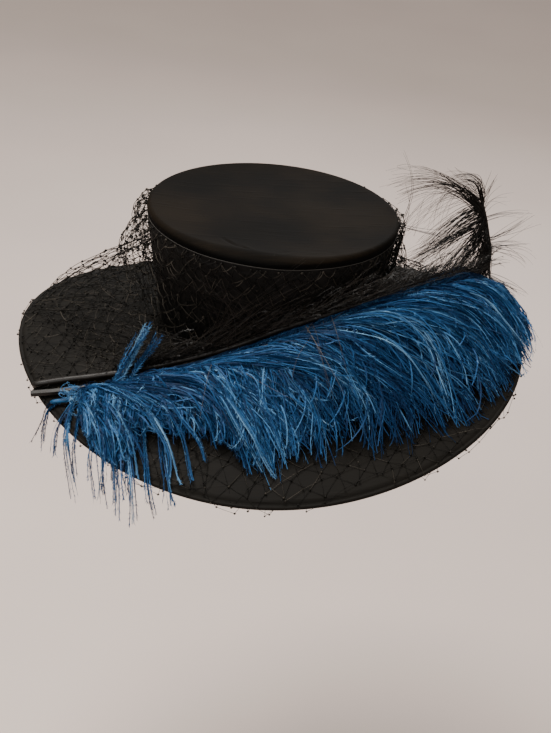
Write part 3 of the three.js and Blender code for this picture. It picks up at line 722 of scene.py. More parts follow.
def flat_net(name, cell, turn, lift, seed, keep=None):
    """A layer of net laid flat on the brim, with loops that hang a little past the rim."""
    rng = rng_for(seed)
    count = int(FLAT_REACH / (cell * 0.62)) + 2
    i, j = np.meshgrid(np.arange(-count, count + 1), np.arange(-count, count + 1), indexing="ij")
    step_a = cell * np.array([math.cos(FLAT_SLANT), math.sin(FLAT_SLANT)])
    step_b = cell * np.array([math.cos(FLAT_SLANT), -math.sin(FLAT_SLANT)])
    xy = i[..., None] * step_a + j[..., None] * step_b
    spin = np.array([[math.cos(turn), -math.sin(turn)], [math.sin(turn), math.cos(turn)]])
    xy = xy @ spin.T
    phase = rng.uniform(0, TAU, 4)
    xy = xy + np.stack([
        7 * np.sin(xy[..., 1] / 47 + phase[0]) + 3 * np.sin(xy[..., 0] / 19 + phase[1]),
        7 * np.sin(xy[..., 0] / 53 + phase[2]) + 3 * np.sin(xy[..., 1] / 17 + phase[3]),
    ], axis=-1)
    xy += rng.normal(0, 1.0, xy.shape)
    angle, at = brim_spot(xy)
    inside = ((xy / (CROWN_BASE + 2)) ** 2).sum(axis=-1) > 1
    limit = 1.035 + 0.045 * np.sin(5 * angle + phase[0]) + 0.025 * np.sin(11 * angle)
    kept = inside & (at < limit)
    if keep is not None:
        kept &= keep(angle)
    over = np.clip(at - 1.0, 0, None)
    rim = brim_point(angle, 1.0)
    flat = np.concatenate([xy, (brim_top(xy) + 0.6 + rng.uniform(0, lift, at.shape))[..., None]], axis=-1)
    outward = unit(rim[..., :2] - RIM_CENTRE)
    hung_z = rim[..., 2] - over * LOOP_DROP
    hung = np.concatenate([rim[..., :2] + outward * 1.2, hung_z[..., None]], axis=-1)
    nodes = np.where((over > 0)[..., None], hung, flat).reshape(-1, 3)
    size = 2 * count + 1
    index = np.arange(size * size).reshape(size, size)
    links = np.concatenate([
        np.stack([index[:-1].ravel(), index[1:].ravel()], axis=-1),
        np.stack([index[:, :-1].ravel(), index[:, 1:].ravel()], axis=-1),
    ])
    good = kept.ravel()
    links = links[good[links[:, 0]] & good[links[:, 1]]]
    net(name, nodes, links, seed + 1, FLAT_THREAD, FLAT_KNOT, FLAT_SAG)


# Gathered layers: rows, columns, opening and its share, looseness, seed, thread, bends
NET_LAYERS = (
    ("net_outer", 23, 56, net_open, 1.0, 1.0, 11, 0.34, 5),
    ("net_middle", 23, 40, net_open, 0.88, -1.2, 13, 0.30, 5),
    ("net_inner", 22, 36, net_inner_open, 0.42, 1.2, 15, 0.28, 3),
)
NET_KNOT = 1.2
NET_SAG = 0.5
NET_PUFF = 1.2


def nets():
    """Three gathered layers round the crown, the first of which replaces the veil, and three flat."""
    for name, rows, columns, opening, scale, loose, seed, thread, bends in NET_LAYERS:
        nodes = ring_nodes(rows, columns, opening, scale, loose, seed)
        links = diamond_links(rows, columns)
        layer = net(name, nodes, links, seed + 1, thread, NET_KNOT, NET_SAG, NET_PUFF, bends)
        if name == "net_outer":
            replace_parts(layer, "veil")
    flat_net("net_brim_under", 14.5, 0.3, 1.2, 21)
    flat_net("net_brim_over", 14.5, 1.25, 2.6, 23)
    flat_net("net_brim_left", 13.5, 2.1, 4.0, 25, lambda angle: np.cos(angle - math.radians(170)) > 0.1)


# Barbs

def faced(rng, direction, spread, paths):
    """The way that barbs face: a direction, turned a little at random for each barb."""
    return unit(direction + rng.normal(0, spread, (len(paths), 1, 3))) + np.zeros_like(paths)


def barb_piece(name, paths, normals, width, tone, feather, seed, look=BLUE_LOOK, slot="blue_feather"):
    """Barbs as thin ribbons with a fringe of fine barbules down both sides.

    paths and normals are (n, steps, 3). feather holds the barbules' count, length and lean."""
    rng = rng_for(seed)
    n, steps, _ = paths.shape
    along = unit(np.gradient(paths, axis=1))
    side = unit(np.cross(along, normals))
    k = np.linspace(0, 1, steps)
    twist = (rng.uniform(-1, 1, (n, 1)) + rng.normal(0, BARB_TWIST, (n, 1)) * k)[..., None]
    side = side * np.cos(twist) + np.cross(along, side) * np.sin(twist)
    half = (width * (1 - BARB_TAPER * k))[None, :, None] / 2
    verts = np.stack([paths - side * half, paths + side * half], axis=2)
    faces = copies(as_triangles(grid_faces(steps, 2, False, False)), n, steps * 2)
    # Each barb is darker at its root and lighter toward its tip: painted shade under the other barbs and
    # painted light on the exposed tips
    tones = np.repeat((tone[:, None] + BARB_TIP_LIGHT * (k[None] - 0.55)).reshape(-1), 2)
    count, length, lean = feather
    at = np.sort(rng.uniform(0.02, 1.0, (n, count)), axis=1)
    spot = at * (steps - 1)
    i = np.minimum(spot.astype(int), steps - 2)
    f = (spot - i)[..., None]
    row = np.arange(n)[:, None]

    def pick(values):
        return values[row, i] * (1 - f) + values[row, i + 1] * f

    root = pick(paths)
    forward, across, up = unit(pick(along)), unit(pick(side)), unit(pick(normals))
    sign = np.where(rng.random((n, count)) < 0.5, -1.0, 1.0)[..., None]
    angle = (lean * rng.uniform(0.6, 1.4, (n, count)))[..., None]
    reach = (length * rng.uniform(0.55, 1.25, (n, count)) * (1 - BARBULE_SHORTEN * at))[..., None]
    swing = forward * np.cos(angle) + across * sign * np.sin(angle)
    swing = swing + up * rng.normal(0.05, 0.28, (n, count, 1))
    tip = root + unit(swing) * reach
    tip[..., 2] -= BARBULE_DROOP * reach[..., 0]
    wide = BARBULE_HALF * rng.uniform(0.6, 1.3, (n, count))[..., None]
    fringe = np.stack([root - forward * wide, root + forward * wide, tip], axis=2)
    fringe_faces = np.arange(n * count * 3).reshape(-1, 3)
    # Barbules scatter a little lighter and darker than their barb: partly their own tone, partly painted
    # glints on their tips
    fringe_tone = np.clip(tone[:, None] + rng.normal(0.03, 0.16, (n, count)), 0, 1)
    tones = np.clip(np.concatenate([tones, np.repeat(fringe_tone.reshape(-1), 3)]), 0, 1)
    verts = np.concatenate([verts.reshape(-1, 3), fringe.reshape(-1, 3)])
    faces = np.concatenate([faces, fringe_faces + n * steps * 2])
    make_mesh(name, verts, faces, look, slot, soft=False, tone=tones)


# Blue plume

def plume_values(along):
    """The table's columns at places along the plume, and the outward direction there."""
    t = np.clip(along, 0, 1) * (len(PLUME_TABLE) - 1)
    values = spline(PLUME_TABLE, t)
    ahead = spline(PLUME_TABLE, np.clip(t + 0.05, 0, len(PLUME_TABLE) - 1))
    behind = spline(PLUME_TABLE, np.clip(t - 0.05, 0, len(PLUME_TABLE) - 1))
    tangent = unit((ahead - behind)[..., :3])
    outward = unit(np.stack([tangent[..., 1], -tangent[..., 0], 0 * tangent[..., 0]], axis=-1))
    return values, tangent, outward


def plume_skin(along, across, lift):
    """The plume's outer form: across is 0 on the quill, 1 at the tips and -1 at the back."""
    values, tangent, outward = plume_values(along)
    quill = values[..., :3]
    back, rise, reach = values[..., 3], values[..., 4], values[..., 5]
    distance = np.where(across < 0, across * back, across * reach)
    beyond = (along - np.clip(along, 0, 1)) * PLUME_LENGTH
    point = quill + outward * distance[..., None] + tangent * beyond[..., None]
    floor = brim_top(point[..., :2]) + 0.6
    tip = quill + outward * reach[..., None]
    tip_z = brim_top(tip[..., :2]) + 3.1
    ridge = quill[..., 2] + PLUME_RIDGE
    behind = ridge + rise * np.minimum(-across, 1.5)
    front = ridge + (tip_z - ridge) * np.clip(across, 0, 1.15) ** 1.5
    z = np.where(across < 0, behind, front) + lift
    point[..., 2] = np.maximum(z, floor + np.maximum(lift, 0) * 0.5)
    return point


def tip_line(along):
    return np.interp(along, TIP_LINE[:, 0], TIP_LINE[:, 1])


def plume_layer(name, count, seed, lifts, reach, tones, feather, clumps, sweep=1.6, ends=(0.02, 0.985),
                width=1.15, drift=0.0):
    """Barbs that leave the quill along it, bend outward and close in clumps at their tips."""
    rng = rng_for(seed)
    steps = 16
    w = np.linspace(0, 1, steps)
    start = ends[0] + (ends[1] - ends[0]) * (np.arange(count) + rng.uniform(0, 1, count)) / count
    clump = np.clip((start * clumps + rng.normal(0, 0.35, count)).astype(int), 0, clumps - 1)
    clump_reach = rng.uniform(*reach, clumps)
    clump_lean = rng.normal(0, 0.3, clumps)
    # Each clump shares a tone, so whole clumps come out lighter or darker: partly the feather's own spread of
    # tone, partly painted light and shade on the clumps
    clump_tone_and_light = rng.uniform(0, 1, clumps)
    clump_lift = rng.uniform(0, 1, clumps)
    clump_bend = rng.normal(0, 0.010, clumps)
    clump_at = (np.arange(clumps) + 0.5) / clumps
    swept = plume_values(start)[0][:, 6] * sweep + drift
    lean = swept / PLUME_LENGTH * (1 + 0.4 * clump_lean[clump]) + rng.normal(0, 0.008, count)
    pull = 0.85 * rng.uniform(0.4, 1.0, count)
    shift = (clump_at[clump] - start) * pull
    turn_out = rng.uniform(1.3, 1.9, count)[:, None]
    along = start[:, None] + lean[:, None] * (1 - (1 - w) ** turn_out) + shift[:, None] * smooth(0.2, 1.0, w)
    along += clump_bend[clump][:, None] * np.sin(w * math.pi * 1.4)
    waves = rng.normal(0, 1, (count, 4))
    along += 0.0034 * waves[:, :1] * np.sin(w * 6.5 + waves[:, 1:2] * 3)
    along += 0.0020 * waves[:, 2:3] * np.sin(w * 15 + waves[:, 3:] * 3)
    end = (clump_reach[clump] + rng.normal(0, 0.05, count)) * tip_line(start + lean + shift)
    across = end[:, None] * w ** rng.uniform(1.0, 1.35, count)[:, None]
    across += 0.025 * waves[:, 3:] * np.sin(w * 9 + waves[:, :1])
    hook = rng.normal(0, 1, (count, 1)) * w ** 5
    along += 0.010 * hook
    across -= 0.06 * np.abs(hook)
    height = between(lifts, 0.6 * clump_lift[clump] + 0.4 * rng.random(count))[:, None]
    lift = 1.0 + height * np.sin(math.pi * np.clip(w * 0.9 + 0.08, 0, 1)) ** 0.8
    lift = lift + 0.9 * waves[:, 1:2] * np.sin(w * 7 + waves[:, 2:3])
    paths = plume_skin(along, across, lift)
    facing = faced(rng, plume_values(along)[2] * 0.6 + np.array([0, 0, 0.8]), 0.4, paths)
    share = 0.45 * clump_tone_and_light[clump] + 0.55 * rng.random(count)
    barb_piece(name, paths, facing, width, between(tones, share ** 1.5), feather, seed + 1)


def plume_ruffle(name, count, seed, ends, spread, tones, feather):
    """Barbs that twist up out of the plume's surface and cross the ones beside them."""
    rng = rng_for(seed)
    steps = 10
    w = np.linspace(0, 1, steps)
    start = between(ends, rng.random(count))
    out = rng.uniform(0.04, 0.8, count) * np.minimum(tip_line(start), 1.0)
    reach = plume_values(start)[0][:, 5]
    heading = 0.12 + 0.8 * out + 0.75 * smooth(0.08, 0.5, start) + rng.normal(0, spread, count)
    bend = rng.normal(0.35, 0.8, count)
    length = rng.uniform(14, 36, count)
    direction = heading[:, None] + bend[:, None] * w
    step = (length / (steps - 1))[:, None]
    along = start[:, None] + np.cumsum(np.cos(direction) * step, axis=1) / PLUME_LENGTH
    aside = np.cumsum(np.sin(direction) * step, axis=1) / np.maximum(reach, 30)[:, None]
    across = np.minimum(out[:, None] + aside, 1.02 * tip_line(along))
    rise = rng.uniform(2, 7, (count, 1))
    lift = 3.0 + rise * np.sin(math.pi * (0.15 + 0.75 * w))
    paths = plume_skin(along, across, lift)
    facing = faced(rng, np.array([0.1, -0.5, 0.8]), 0.4, paths)
    barb_piece(name, paths, facing, 1.25, between(tones, rng.random(count) ** 1.3), feather, seed + 1)


def plume_back(name, count, seed, tones, feather):
    """Barbs that rise at the back of the quill, toward the crown, and are swept along it."""
    rng = rng_for(seed)
    steps = 12
    w = np.linspace(0, 1, steps)
    start = 0.06 + 0.88 * rng.beta(2.2, 1.2, count)
    full = smooth(0.35, 0.75, start)
    far = -(0.15 + (0.45 + 0.5 * full) * rng.uniform(0.2, 1.1, count))[:, None]
    across = far * w ** 0.8 * (1 - 0.5 * w ** 3)
    along = start[:, None] + rng.uniform(0.05, 0.12, (count, 1)) * w ** 0.9
    lift = (1 + rng.uniform(1, 4, (count, 1)) * (0.4 + full[:, None])) * np.sin(w * math.pi * 0.6) + 1
    paths = plume_skin(along, across, lift)
    facing = faced(rng, np.array([0.1, -0.5, 0.8]), 0.4, paths)
    barb_piece(name, paths, facing, 0.8, between(tones, rng.random(count) ** 1.5), feather, seed + 1)


# Locks of barbs: the points they bend through, how many, how far they part, and their tone
HANGING_LOCKS = (
    (((-176, -114, -26), (-186, -117, -32), (-191, -121, -46), (-200, -126, -66)), 2, 0.8, 0.15),
    (((-168, -114, -24), (-184, -119, -33), (-188, -124, -46), (-189, -126, -72)), 4, 1.4, 0.35),
    (((-163, -117, -22), (-174, -134, -35), (-178, -141, -46), (-178, -145, -64)), 5, 2.2, 0.6),
    (((-164, -117, -22), (-168, -142, -37), (-166, -156, -52), (-158, -165, -100)), 6, 1.8, 0.6),
    (((-158, -118, -20), (-160, -146, -38), (-161, -158, -52), (-156, -160, -92)), 4, 2.4, 0.4),
    (((-148, -121, -14), (-146, -156, -37), (-146, -171, -52), (-141, -174, -92)), 6, 2.6, 0.45),
    (((-140, -122, -13), (-138, -160, -38), (-137, -179, -54), (-134, -183, -91)), 6, 2.6, 0.5),
    (((-130, -124, -11), (-128, -164, -38), (-125, -187, -56), (-122, -190, -95)), 6, 2.6, 0.6),
    (((-120, -124, -9), (-116, -168, -38), (-112, -195, -56), (-108, -200, -96)), 6, 2.8, 0.45),
    (((-108, -124, -8), (-102, -170, -36), (-98, -203, -54), (-92, -207, -80)), 6, 2.8, 0.6),
    (((-126, -123, -10), (-122, -160, -34), (-118, -190, -52), (-115, -194, -72)), 6, 3.4, 0.3),
    (((-136, -122, -12), (-132, -156, -36), (-130, -180, -52), (-130, -184, -70)), 6, 3.4, 0.3),
    (((-95, -124, -5), (-88, -176, -36), (-82, -209, -53), (-79, -212, -66)), 6, 2.6, 0.5),
)
TUFT_LOCKS = (
    (((-128, -116, -10), (-118, -108, 10), (-111, -103, 28), (-103, -100, 43)), 11, 1.7, 0.75),
    (((-132, -116, -10), (-124, -109, 6), (-115, -104, 22), (-106, -101, 36)), 8, 2.4, 0.6),
    (((-118, -115, -8), (-112, -108, 6), (-103, -102, 18), (-95, -97, 31)), 9, 2.2, 0.35),
)


# Fingers: points along and across the plume, and how many barbs each bundle has
FINGERS = (
    (((0.08, 0.1), (0.17, 0.45), (0.205, 0.75), (0.222, 1.00), (0.220, 1.22)), 5),
    (((0.09, 0.1), (0.18, 0.45), (0.212, 0.75), (0.228, 1.02), (0.238, 1.32)), 5),
    (((0.10, 0.1), (0.20, 0.40), (0.235, 0.75), (0.248, 1.02), (0.256, 1.30)), 6),
    (((0.11, 0.1), (0.21, 0.40), (0.245, 0.72), (0.268, 0.90), (0.282, 1.04)), 6),
    (((0.15, 0.1), (0.24, 0.35), (0.275, 0.65), (0.292, 0.80), (0.302, 0.93)), 4),
    (((0.20, 0.1), (0.28, 0.40), (0.325, 0.75), (0.345, 0.92), (0.358, 1.07)), 6),
    (((0.20, 0.1), (0.29, 0.40), (0.335, 0.75), (0.360, 0.92), (0.386, 1.05)), 7),
    (((0.22, 0.1), (0.30, 0.40), (0.350, 0.75), (0.378, 0.95), (0.406, 1.10)), 7),
    (((0.04, 0.1), (0.12, 0.50), (0.155, 0.80), (0.170, 1.05), (0.176, 1.26)), 5),
    (((0.04, 0.1), (0.12, 0.50), (0.165, 0.80), (0.186, 1.00), (0.196, 1.20)), 4),
)


def lock_group(name, table, seed, feather, width):
    """Barbs that follow a table's points and part a little toward their tips."""
    rng = rng_for(seed)
    steps = 16
    w = np.linspace(0, 1, steps)
    paths, tones = [], []
    for points, barbs, spread, tone in table:
        for _ in range(barbs):
            line = spline(points, w * rng.uniform(0.82, 1.0) * (len(points) - 1))
            offset = rng.normal(0, spread, 3) * np.array([1, 1, 0.6])
            part = (0.25 + 0.75 * w)[:, None]
            curl = rng.normal(0, 1.2, 3) * np.sin(w * rng.uniform(5, 9) + rng.uniform(0, 3))[:, None]
            paths.append(line + offset * part + curl * w[:, None])
            tones.append(np.clip(tone + rng.normal(0, 0.2), 0, 1))
    paths = np.array(paths)
    facing = faced(rng, np.array([0.0, -0.85, 0.5]), 0.35, paths)
    barb_piece(name, paths, facing, width, np.array(tones), feather, seed + 1)


def root_tangle():
    """Pale curled barbs knotted round the root of the plume."""
    rng = rng_for(91)
    steps = 18
    w = np.linspace(0, 1, steps)[:, None]
    paths = []
    for _ in range(40):
        centre = np.array([-163, -116, -21]) + rng.normal(0, 1, 3) * np.array([8, 3, 2])
        turn = rng.uniform(0, TAU) + rng.choice([-1, 1]) * w * rng.uniform(3, 6.5)
        size = rng.uniform(2, 6) * (1 - 0.45 * w)
        loop = [np.cos(turn) * size * 1.3, np.sin(turn) * size * 0.7, np.sin(turn * 0.8) * size * 0.7]
        paths.append(centre + np.concatenate(loop, axis=1) + w * rng.normal(0, 4, 3))
    paths = np.array(paths)
    paths[..., 2] = np.maximum(paths[..., 2], brim_top(paths[..., :2]) + 1)
    facing = faced(rng, np.array([0, -0.5, 1.0]), 1, paths)
    barb_piece("blue_root_tangle", paths, facing, 0.6, rng.uniform(0.7, 1.0, len(paths)), (26, 2.2, 0.6), 92)


def plume_shade_sheet():
    """The plume's body under the barbs: a dark navy sheet, painted shade for the depths between the barbs."""
    rows, columns = 110, 28
    along = np.linspace(0.02, 0.985, rows)[:, None] + np.zeros((1, columns))
    top = np.linspace(-0.85, 0.74, columns // 2)
    across = np.concatenate([top, top[::-1]])[None] + np.zeros((rows, 1))
    thin = 6.0 * smooth(0.35, 0.74, top)
    across = across * np.interp(along, TIP_LINE[:, 0], np.minimum(TIP_LINE[:, 1], 1.0))
    above = np.concatenate([0.3 - thin, np.full(columns // 2, -10.0)])
    verts = plume_skin(along, across, np.broadcast_to(above, (rows, columns)).copy())
    faces = closed_faces(rows, columns)
    tone = np.full(rows * columns, 0.4)
    return make_mesh("blue_plume_shade_sheet", verts, faces, BLUE_DEPTH_SHADE, "blue_feather", tone=tone)


def finger_locks():
    """Tight bundles of barbs that end in blunt fingers on the brim."""
    rng = rng_for(81)
    steps = 18
    w = np.linspace(0, 1, steps)
    paths, tones = [], []
    for points, barbs in FINGERS:
        tone = rng.uniform(0.3, 0.9)
        for _ in range(barbs):
            line = spline(points, w * rng.uniform(0.9, 1.0) * (len(points) - 1))
            part = rng.normal(0, 1, 2) * np.array([0.0022, 0.012]) * (0.5 + 0.5 * w[:, None])
            lift = 2.5 + rng.uniform(0, 3) + 5 * np.sin(math.pi * np.clip(w * 0.95, 0, 1))
            paths.append(plume_skin(line[:, 0] + part[:, 0], line[:, 1] + part[:, 1], lift))
            tones.append(np.clip(tone + rng.normal(0, 0.25), 0, 1))
    paths = np.array(paths)
    facing = faced(rng, np.array([0.0, -0.6, 0.8]), 0.35, paths)
    barb_piece("blue_fingers", paths, facing, 1.1, np.array(tones), (110, 3.0, 0.45), 82)


def blue_plume():
    """The whole blue plume: its dark body sheet, painted shade under the barbs, then its barbs in layers,
    ruffles, fingers, locks and tangle.
    """
    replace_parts(plume_shade_sheet(), "blue_plume")
    n = 1.0
    fringe, ruffled = (60, 3.2, 0.5), (46, 3.2, 0.4)
    # The under layer takes the darkest tones: painted shade of the barbs that lie deepest
    plume_layer("blue_barbs_under", int(1000 * n), 31, (0, 3), (0.78, 1.0), (0.05, 0.6), (44, 3.0, 0.5), 64)
    plume_layer("blue_barbs_middle", int(1150 * n), 41, (1, 6), (0.74, 1.02), (0.06, 1.0), fringe, 58, 1.7)
    plume_layer("blue_barbs_top", int(760 * n), 51, (4, 9), (0.45, 1.0), (0.15, 1.15), fringe, 90, 1.8)
    plume_layer("blue_barbs_left", int(760 * n), 55, (3, 10), (0.45, 1.0), (0.0, 1.05), fringe, 40, 1.2,
                (0.005, 0.30), 1.2, 80)
    plume_back("blue_barbs_back", int(620 * n), 61, (0.0, 0.75), (50, 3.4, 0.6))
    plume_ruffle("blue_ruffles_left", int(380 * n), 57, (0.0, 0.36), 0.3, (0.12, 1.0), ruffled)
    plume_ruffle("blue_ruffles_right", int(190 * n), 59, (0.34, 0.97), 0.14, (0.2, 0.9), ruffled)
    finger_locks()
    lock_group("blue_hanging_locks", HANGING_LOCKS, 71, (110, 3.8, 0.5), 1.1)
    lock_group("blue_tufts", TUFT_LOCKS, 73, (90, 3.8, 0.6), 0.8)
    root_tangle()


# Quills: x, y, z and radius of their sections

QUILL_BLACK = (
    (-201, -94, -26.6, 3.1), (-177, -94, -20.6, 3.1), (-144, -95, -13.4, 3.1), (-110, -96.5, -4, 3.0),
    (-77, -98, 7, 2.9), (-33, -102.5, 26, 2.8), (5, -104, 46, 2.6), (41, -99, 59, 2.4), (64, -91, 65, 2.3),
    (111, -60, 67, 2.1), (152, -22, 62, 1.9), (190, 18, 50, 1.7), (207, 35, 50, 1.6), (210, 40, 62, 1.5),
    (206, 42, 78, 1.3), (200, 44, 98, 1.1), (193, 46, 115, 0.9), (187, 48, 126, 0.7), (177, 50, 130, 0.5),
)
QUILL_BLUE = (
    (-184, -116, -29.5, 1.9), (-163, -117, -24, 2.0), (-140, -117, -17, 1.9), (-110, -116, -8, 1.6),
)


def quill_at(height):
    """The point of the black quill's standing end at a height."""
    standing = np.array(QUILL_BLACK[12:-1])[:, :3]
    return tuple(np.interp(height, standing[:, 2], standing[:, axis]) for axis in range(3))


def quill(name, rows, steps, material, slot):
    """A quill along the rows of a table, narrowed at both ends."""
    rows = np.array(rows, dtype=float)
    values = spline(rows, np.linspace(0, len(rows) - 1, steps))
    radius = values[:, 3].copy()
    radius[0] *= 0.55
    radius[-1] *= 0.3
    verts, faces = tubes(values[None, :, :3], radius[None], 14)
    return make_mesh(name, verts, faces, material, slot)


# Black plume and loose strands

def strands(name, families, seed, material, slot, tone_range=(0.0, 0.6)):
    """Loose tapered hairs: each family has a start, a bow, a tip, a count, spreads and a radius.

    The start is one point, or two, and the hairs then leave from anywhere between them."""
    rng = rng_for(seed)
    steps = 11
    w = np.linspace(0, 1, steps)[:, None]
    paths, radii, tones = [], [], []
    for start, bow, tip, count, root_spread, tip_spread, radius in families:
        start, bow, tip = np.array(start), np.array(bow), np.array(tip)
        for _ in range(count):
            slide = rng.uniform(0, 1)
            root = start[0] * (1 - slide) + start[1] * slide if start.ndim == 2 else start
            root = root + rng.normal(0, root_spread, 3)
            drift = rng.normal(0, tip_spread, 3)
            bend = bow + drift * 0.6 + rng.normal(0, tip_spread * 0.25, 3)
            if start.ndim == 2:
                bend = bend + (root - (start[0] + start[1]) / 2) * 0.6
            line = root * (1 - w) ** 2 + 2 * bend * w * (1 - w) + (tip + drift) * w ** 2
            paths.append(line + rng.normal(0, 0.8, 3) * np.sin(w * 5))
            radii.append(radius * rng.uniform(0.7, 1.2) * (1 - 0.7 * w[:, 0]))
            tones.append(rng.uniform(*tone_range))
    verts, faces = tubes(np.array(paths), np.array(radii), 3)
    make_mesh(name, verts, faces, material, slot, tone=np.repeat(tones, steps * 3))


# Standing barbs: the heights where they leave the quill, a bow, a tip, a count, spreads and a radius
STANDING_FAMILIES = (
    ((88, 100), (186, 46, 82), (137, 44, 48), 34, 0.5, 5, 0.46),
    ((78, 93), (190, 45, 68), (172, 42, 34), 46, 0.5, 6, 0.46),
    ((94, 108), (182, 46, 97), (157, 44, 54), 30, 0.5, 5, 0.44),
    ((70, 90), (205, 43, 58), (191, 38, 34), 52, 0.6, 6, 0.46),
    ((90, 104), (197, 45, 80), (182, 42, 35), 34, 0.5, 6, 0.44),
    ((98, 110), (180, 46, 105), (146, 44, 62), 20, 0.5, 5, 0.42),
    ((62, 80), (206, 41, 54), (200, 38, 32), 48, 0.6, 5, 0.44),
    ((54, 70), (208, 38, 46), (206, 36, 26), 34, 0.6, 4, 0.4),
    ((90, 100), (166, 47, 147), (112, 47, 121), 17, 0.5, 5, 0.38),
    ((88, 98), (160, 47, 141), (120, 47, 110), 15, 0.5, 6, 0.38),
    ((92, 102), (172, 47, 138), (140, 46, 92), 10, 0.5, 6, 0.32),
    ((100, 112), (160, 47, 136), (128, 47, 131), 9, 0.5, 5, 0.34),
    ((104, 118), (194, 47, 144), (162, 48, 127), 22, 0.4, 4, 0.34),
    ((112, 122), (179, 46, 132), (165, 46, 143), 7, 0.5, 5, 0.26),
    ((106, 118), (158, 48, 138), (158, 45, 84), 8, 0.5, 6, 0.3),
    ((106, 114), (200, 46, 124), (207, 50, 134), 7, 0.3, 4, 0.28),
    ((98, 108), (204, 46, 118), (215, 46, 120), 5, 0.3, 4, 0.24),
    ((90, 97), (218, 44, 104), (237, 46, 104), 6, 0.3, 5, 0.28),
    ((68, 77), (228, 44, 84), (243, 46, 97), 10, 0.3, 6, 0.3),
    ((66, 73), (228, 42, 74), (242, 44, 71), 8, 0.3, 5, 0.3),
    ((64, 71), (230, 42, 68), (245, 44, 51), 8, 0.3, 6, 0.3),
    ((52, 56), (222, 38, 57), (230, 38, 55), 5, 0.3, 3, 0.26),
    ((54, 58), (213, 44, 44), (217, 45, 25), 5, 0.4, 1, 0.75),
)
# Hairs over the right end of the blue plume
END_FAMILIES = (
    (((214, 34, 34), (210, 36, 44)), (228, 30, 34), (238, 24, 28), 16, 1.0, 5, 0.3),
    (((216, 30, 28), (222, 20, 22)), (244, 4, 14), (250, -14, -6), 10, 1.0, 5, 0.2),
)
# Hairs that hang loose between the crown and the standing barbs
LONE_FAMILIES = (
    ((126, 44, 90), (134, 45, 126), (115, 45, 154), 2, 1.0, 2, 0.3),
    ((124, 44, 78), (133, 45, 104), (124, 46, 126), 3, 1.5, 4, 0.22),
    ((112, 44, 140), (124, 45, 142), (132, 46, 134), 2, 1.5, 3, 0.2),
    ((130, 44, 74), (138, 45, 88), (143, 46, 114), 4, 3, 6, 0.2),
    ((120, 44, 84), (152, 44, 72), (180, 44, 76), 3, 1.5, 3, 0.28),
    ((190, 46, 112), (150, 44, 96), (136, 40, 70), 5, 2, 10, 0.2),
    ((186, 46, 118), (160, 46, 130), (150, 46, 140), 3, 1, 8, 0.2),
    ((112, 36, 88), (150, 42, 70), (198, 44, 74), 2, 2, 8, 0.24),
    ((118, 38, 62), (126, 44, 110), (180, 48, 124), 4, 3, 10, 0.22),
)
# Hairs that rise from the long quill against the crown
FRONT_FAMILIES = (
    (((-60, -101, 15), (30, -103, 55)), (-30, -106, 62), (-60, -106, 84), 22, 1.0, 14, 0.2),
    (((-90, -99, 4), (0, -105, 45)), (-20, -108, 60), (20, -108, 86), 26, 1.0, 14, 0.2),
    (((-120, -98, -5), (-30, -104, 27)), (-110, -94, 22), (-130, -72, 22), 22, 1.0, 9, 0.2),
    (((-100, -97, 2), (-20, -104, 33)), (-50, -106, 40), (10, -106, 78), 12, 1.0, 12, 0.2),
    (((20, -104, 53), (90, -77, 68)), (70, -102, 84), (110, -74, 88), 22, 1.0, 12, 0.2),
    (((60, -94, 66), (150, -25, 64)), (120, -64, 88), (150, -22, 86), 26, 1.0, 12, 0.2),
    (((-150, -96, -12), (-60, -101, 13)), (-120, -88, 2), (-90, -64, 10), 20, 1.0, 10, 0.18),
    (((90, -77, 69), (190, 13, 54)), (140, -32, 78), (176, 18, 68), 60, 1.2, 10, 0.26),
)
# Black barbs over the blue plume, drawn pale tan as painted highlights where they catch the light
HIGHLIGHT_FAMILIES = (
    (((-52, -108, 14), (-46, -108, 16)), (-60, -134, 14), (-66, -168, -24), 7, 1.0, 5, 0.24),
    (((-38, -108, 20), (-34, -108, 22)), (-44, -136, 18), (-44, -166, -20), 7, 1.0, 5, 0.24),
    (((20, -106, 50), (50, -100, 60)), (34, -134, 46), (44, -160, 8), 9, 1.0, 10, 0.22),
    (((-70, -104, 8), (60, -98, 62)), (-10, -124, 34), (20, -142, 20), 8, 1.0, 14, 0.2),
)


def black_edge():
    """Short black barbs with barbules along the long quill, lying against the crown."""
    rng = rng_for(95)
    count, steps = (620), 12
    w = np.linspace(0, 1, steps)
    t = 2.2 + 9.0 * (np.arange(count) + rng.uniform(0, 1, count)) / count
    root = spline(np.array(QUILL_BLACK)[:, :3], t)
    ahead = spline(np.array(QUILL_BLACK)[:, :3], t + 0.2)
    tangent = unit(ahead - root)
    length = rng.uniform(14, 40, count)[:, None, None]
    bend = rng.uniform(0.2, 1.0, count)[:, None, None]
    w3 = w[None, :, None]
    outward = np.stack([tangent[:, 1], -tangent[:, 0], 0 * tangent[:, 0]], axis=-1)[:, None]
    up = np.array([0, 0, 1.0])
    paths = root[:, None] + tangent[:, None] * length * (w3 + 0.25 * w3 ** 2) * 0.85
    paths = paths + up * length * (0.75 * np.sin(w3 * 1.9 * bend) * rng.uniform(0.3, 1, (count, 1, 1)))
    paths = paths + outward * rng.normal(1.0, 3.0, (count, 1, 1)) * w3
    wall = crown_half(np.clip(paths[..., 2], -5, 100)) + 2.5
    inside = np.sqrt(((paths[..., :2] / wall) ** 2).sum(axis=-1))
    paths[..., :2] /= np.minimum(inside, 1)[..., None]
    paths[..., 2] = np.maximum(paths[..., 2], brim_top(paths[..., :2]) + 1.5)
    facing = faced(rng, np.array([0, -0.8, 0.5]), 0.6, paths)
    tone = rng.uniform(0, 0.75, count) ** 1.6
    barb_piece("black_edge_barbs", paths, facing, 0.5, tone, (34, 3.2, 0.6), 96, BLACK_BARBS, "black_feather")


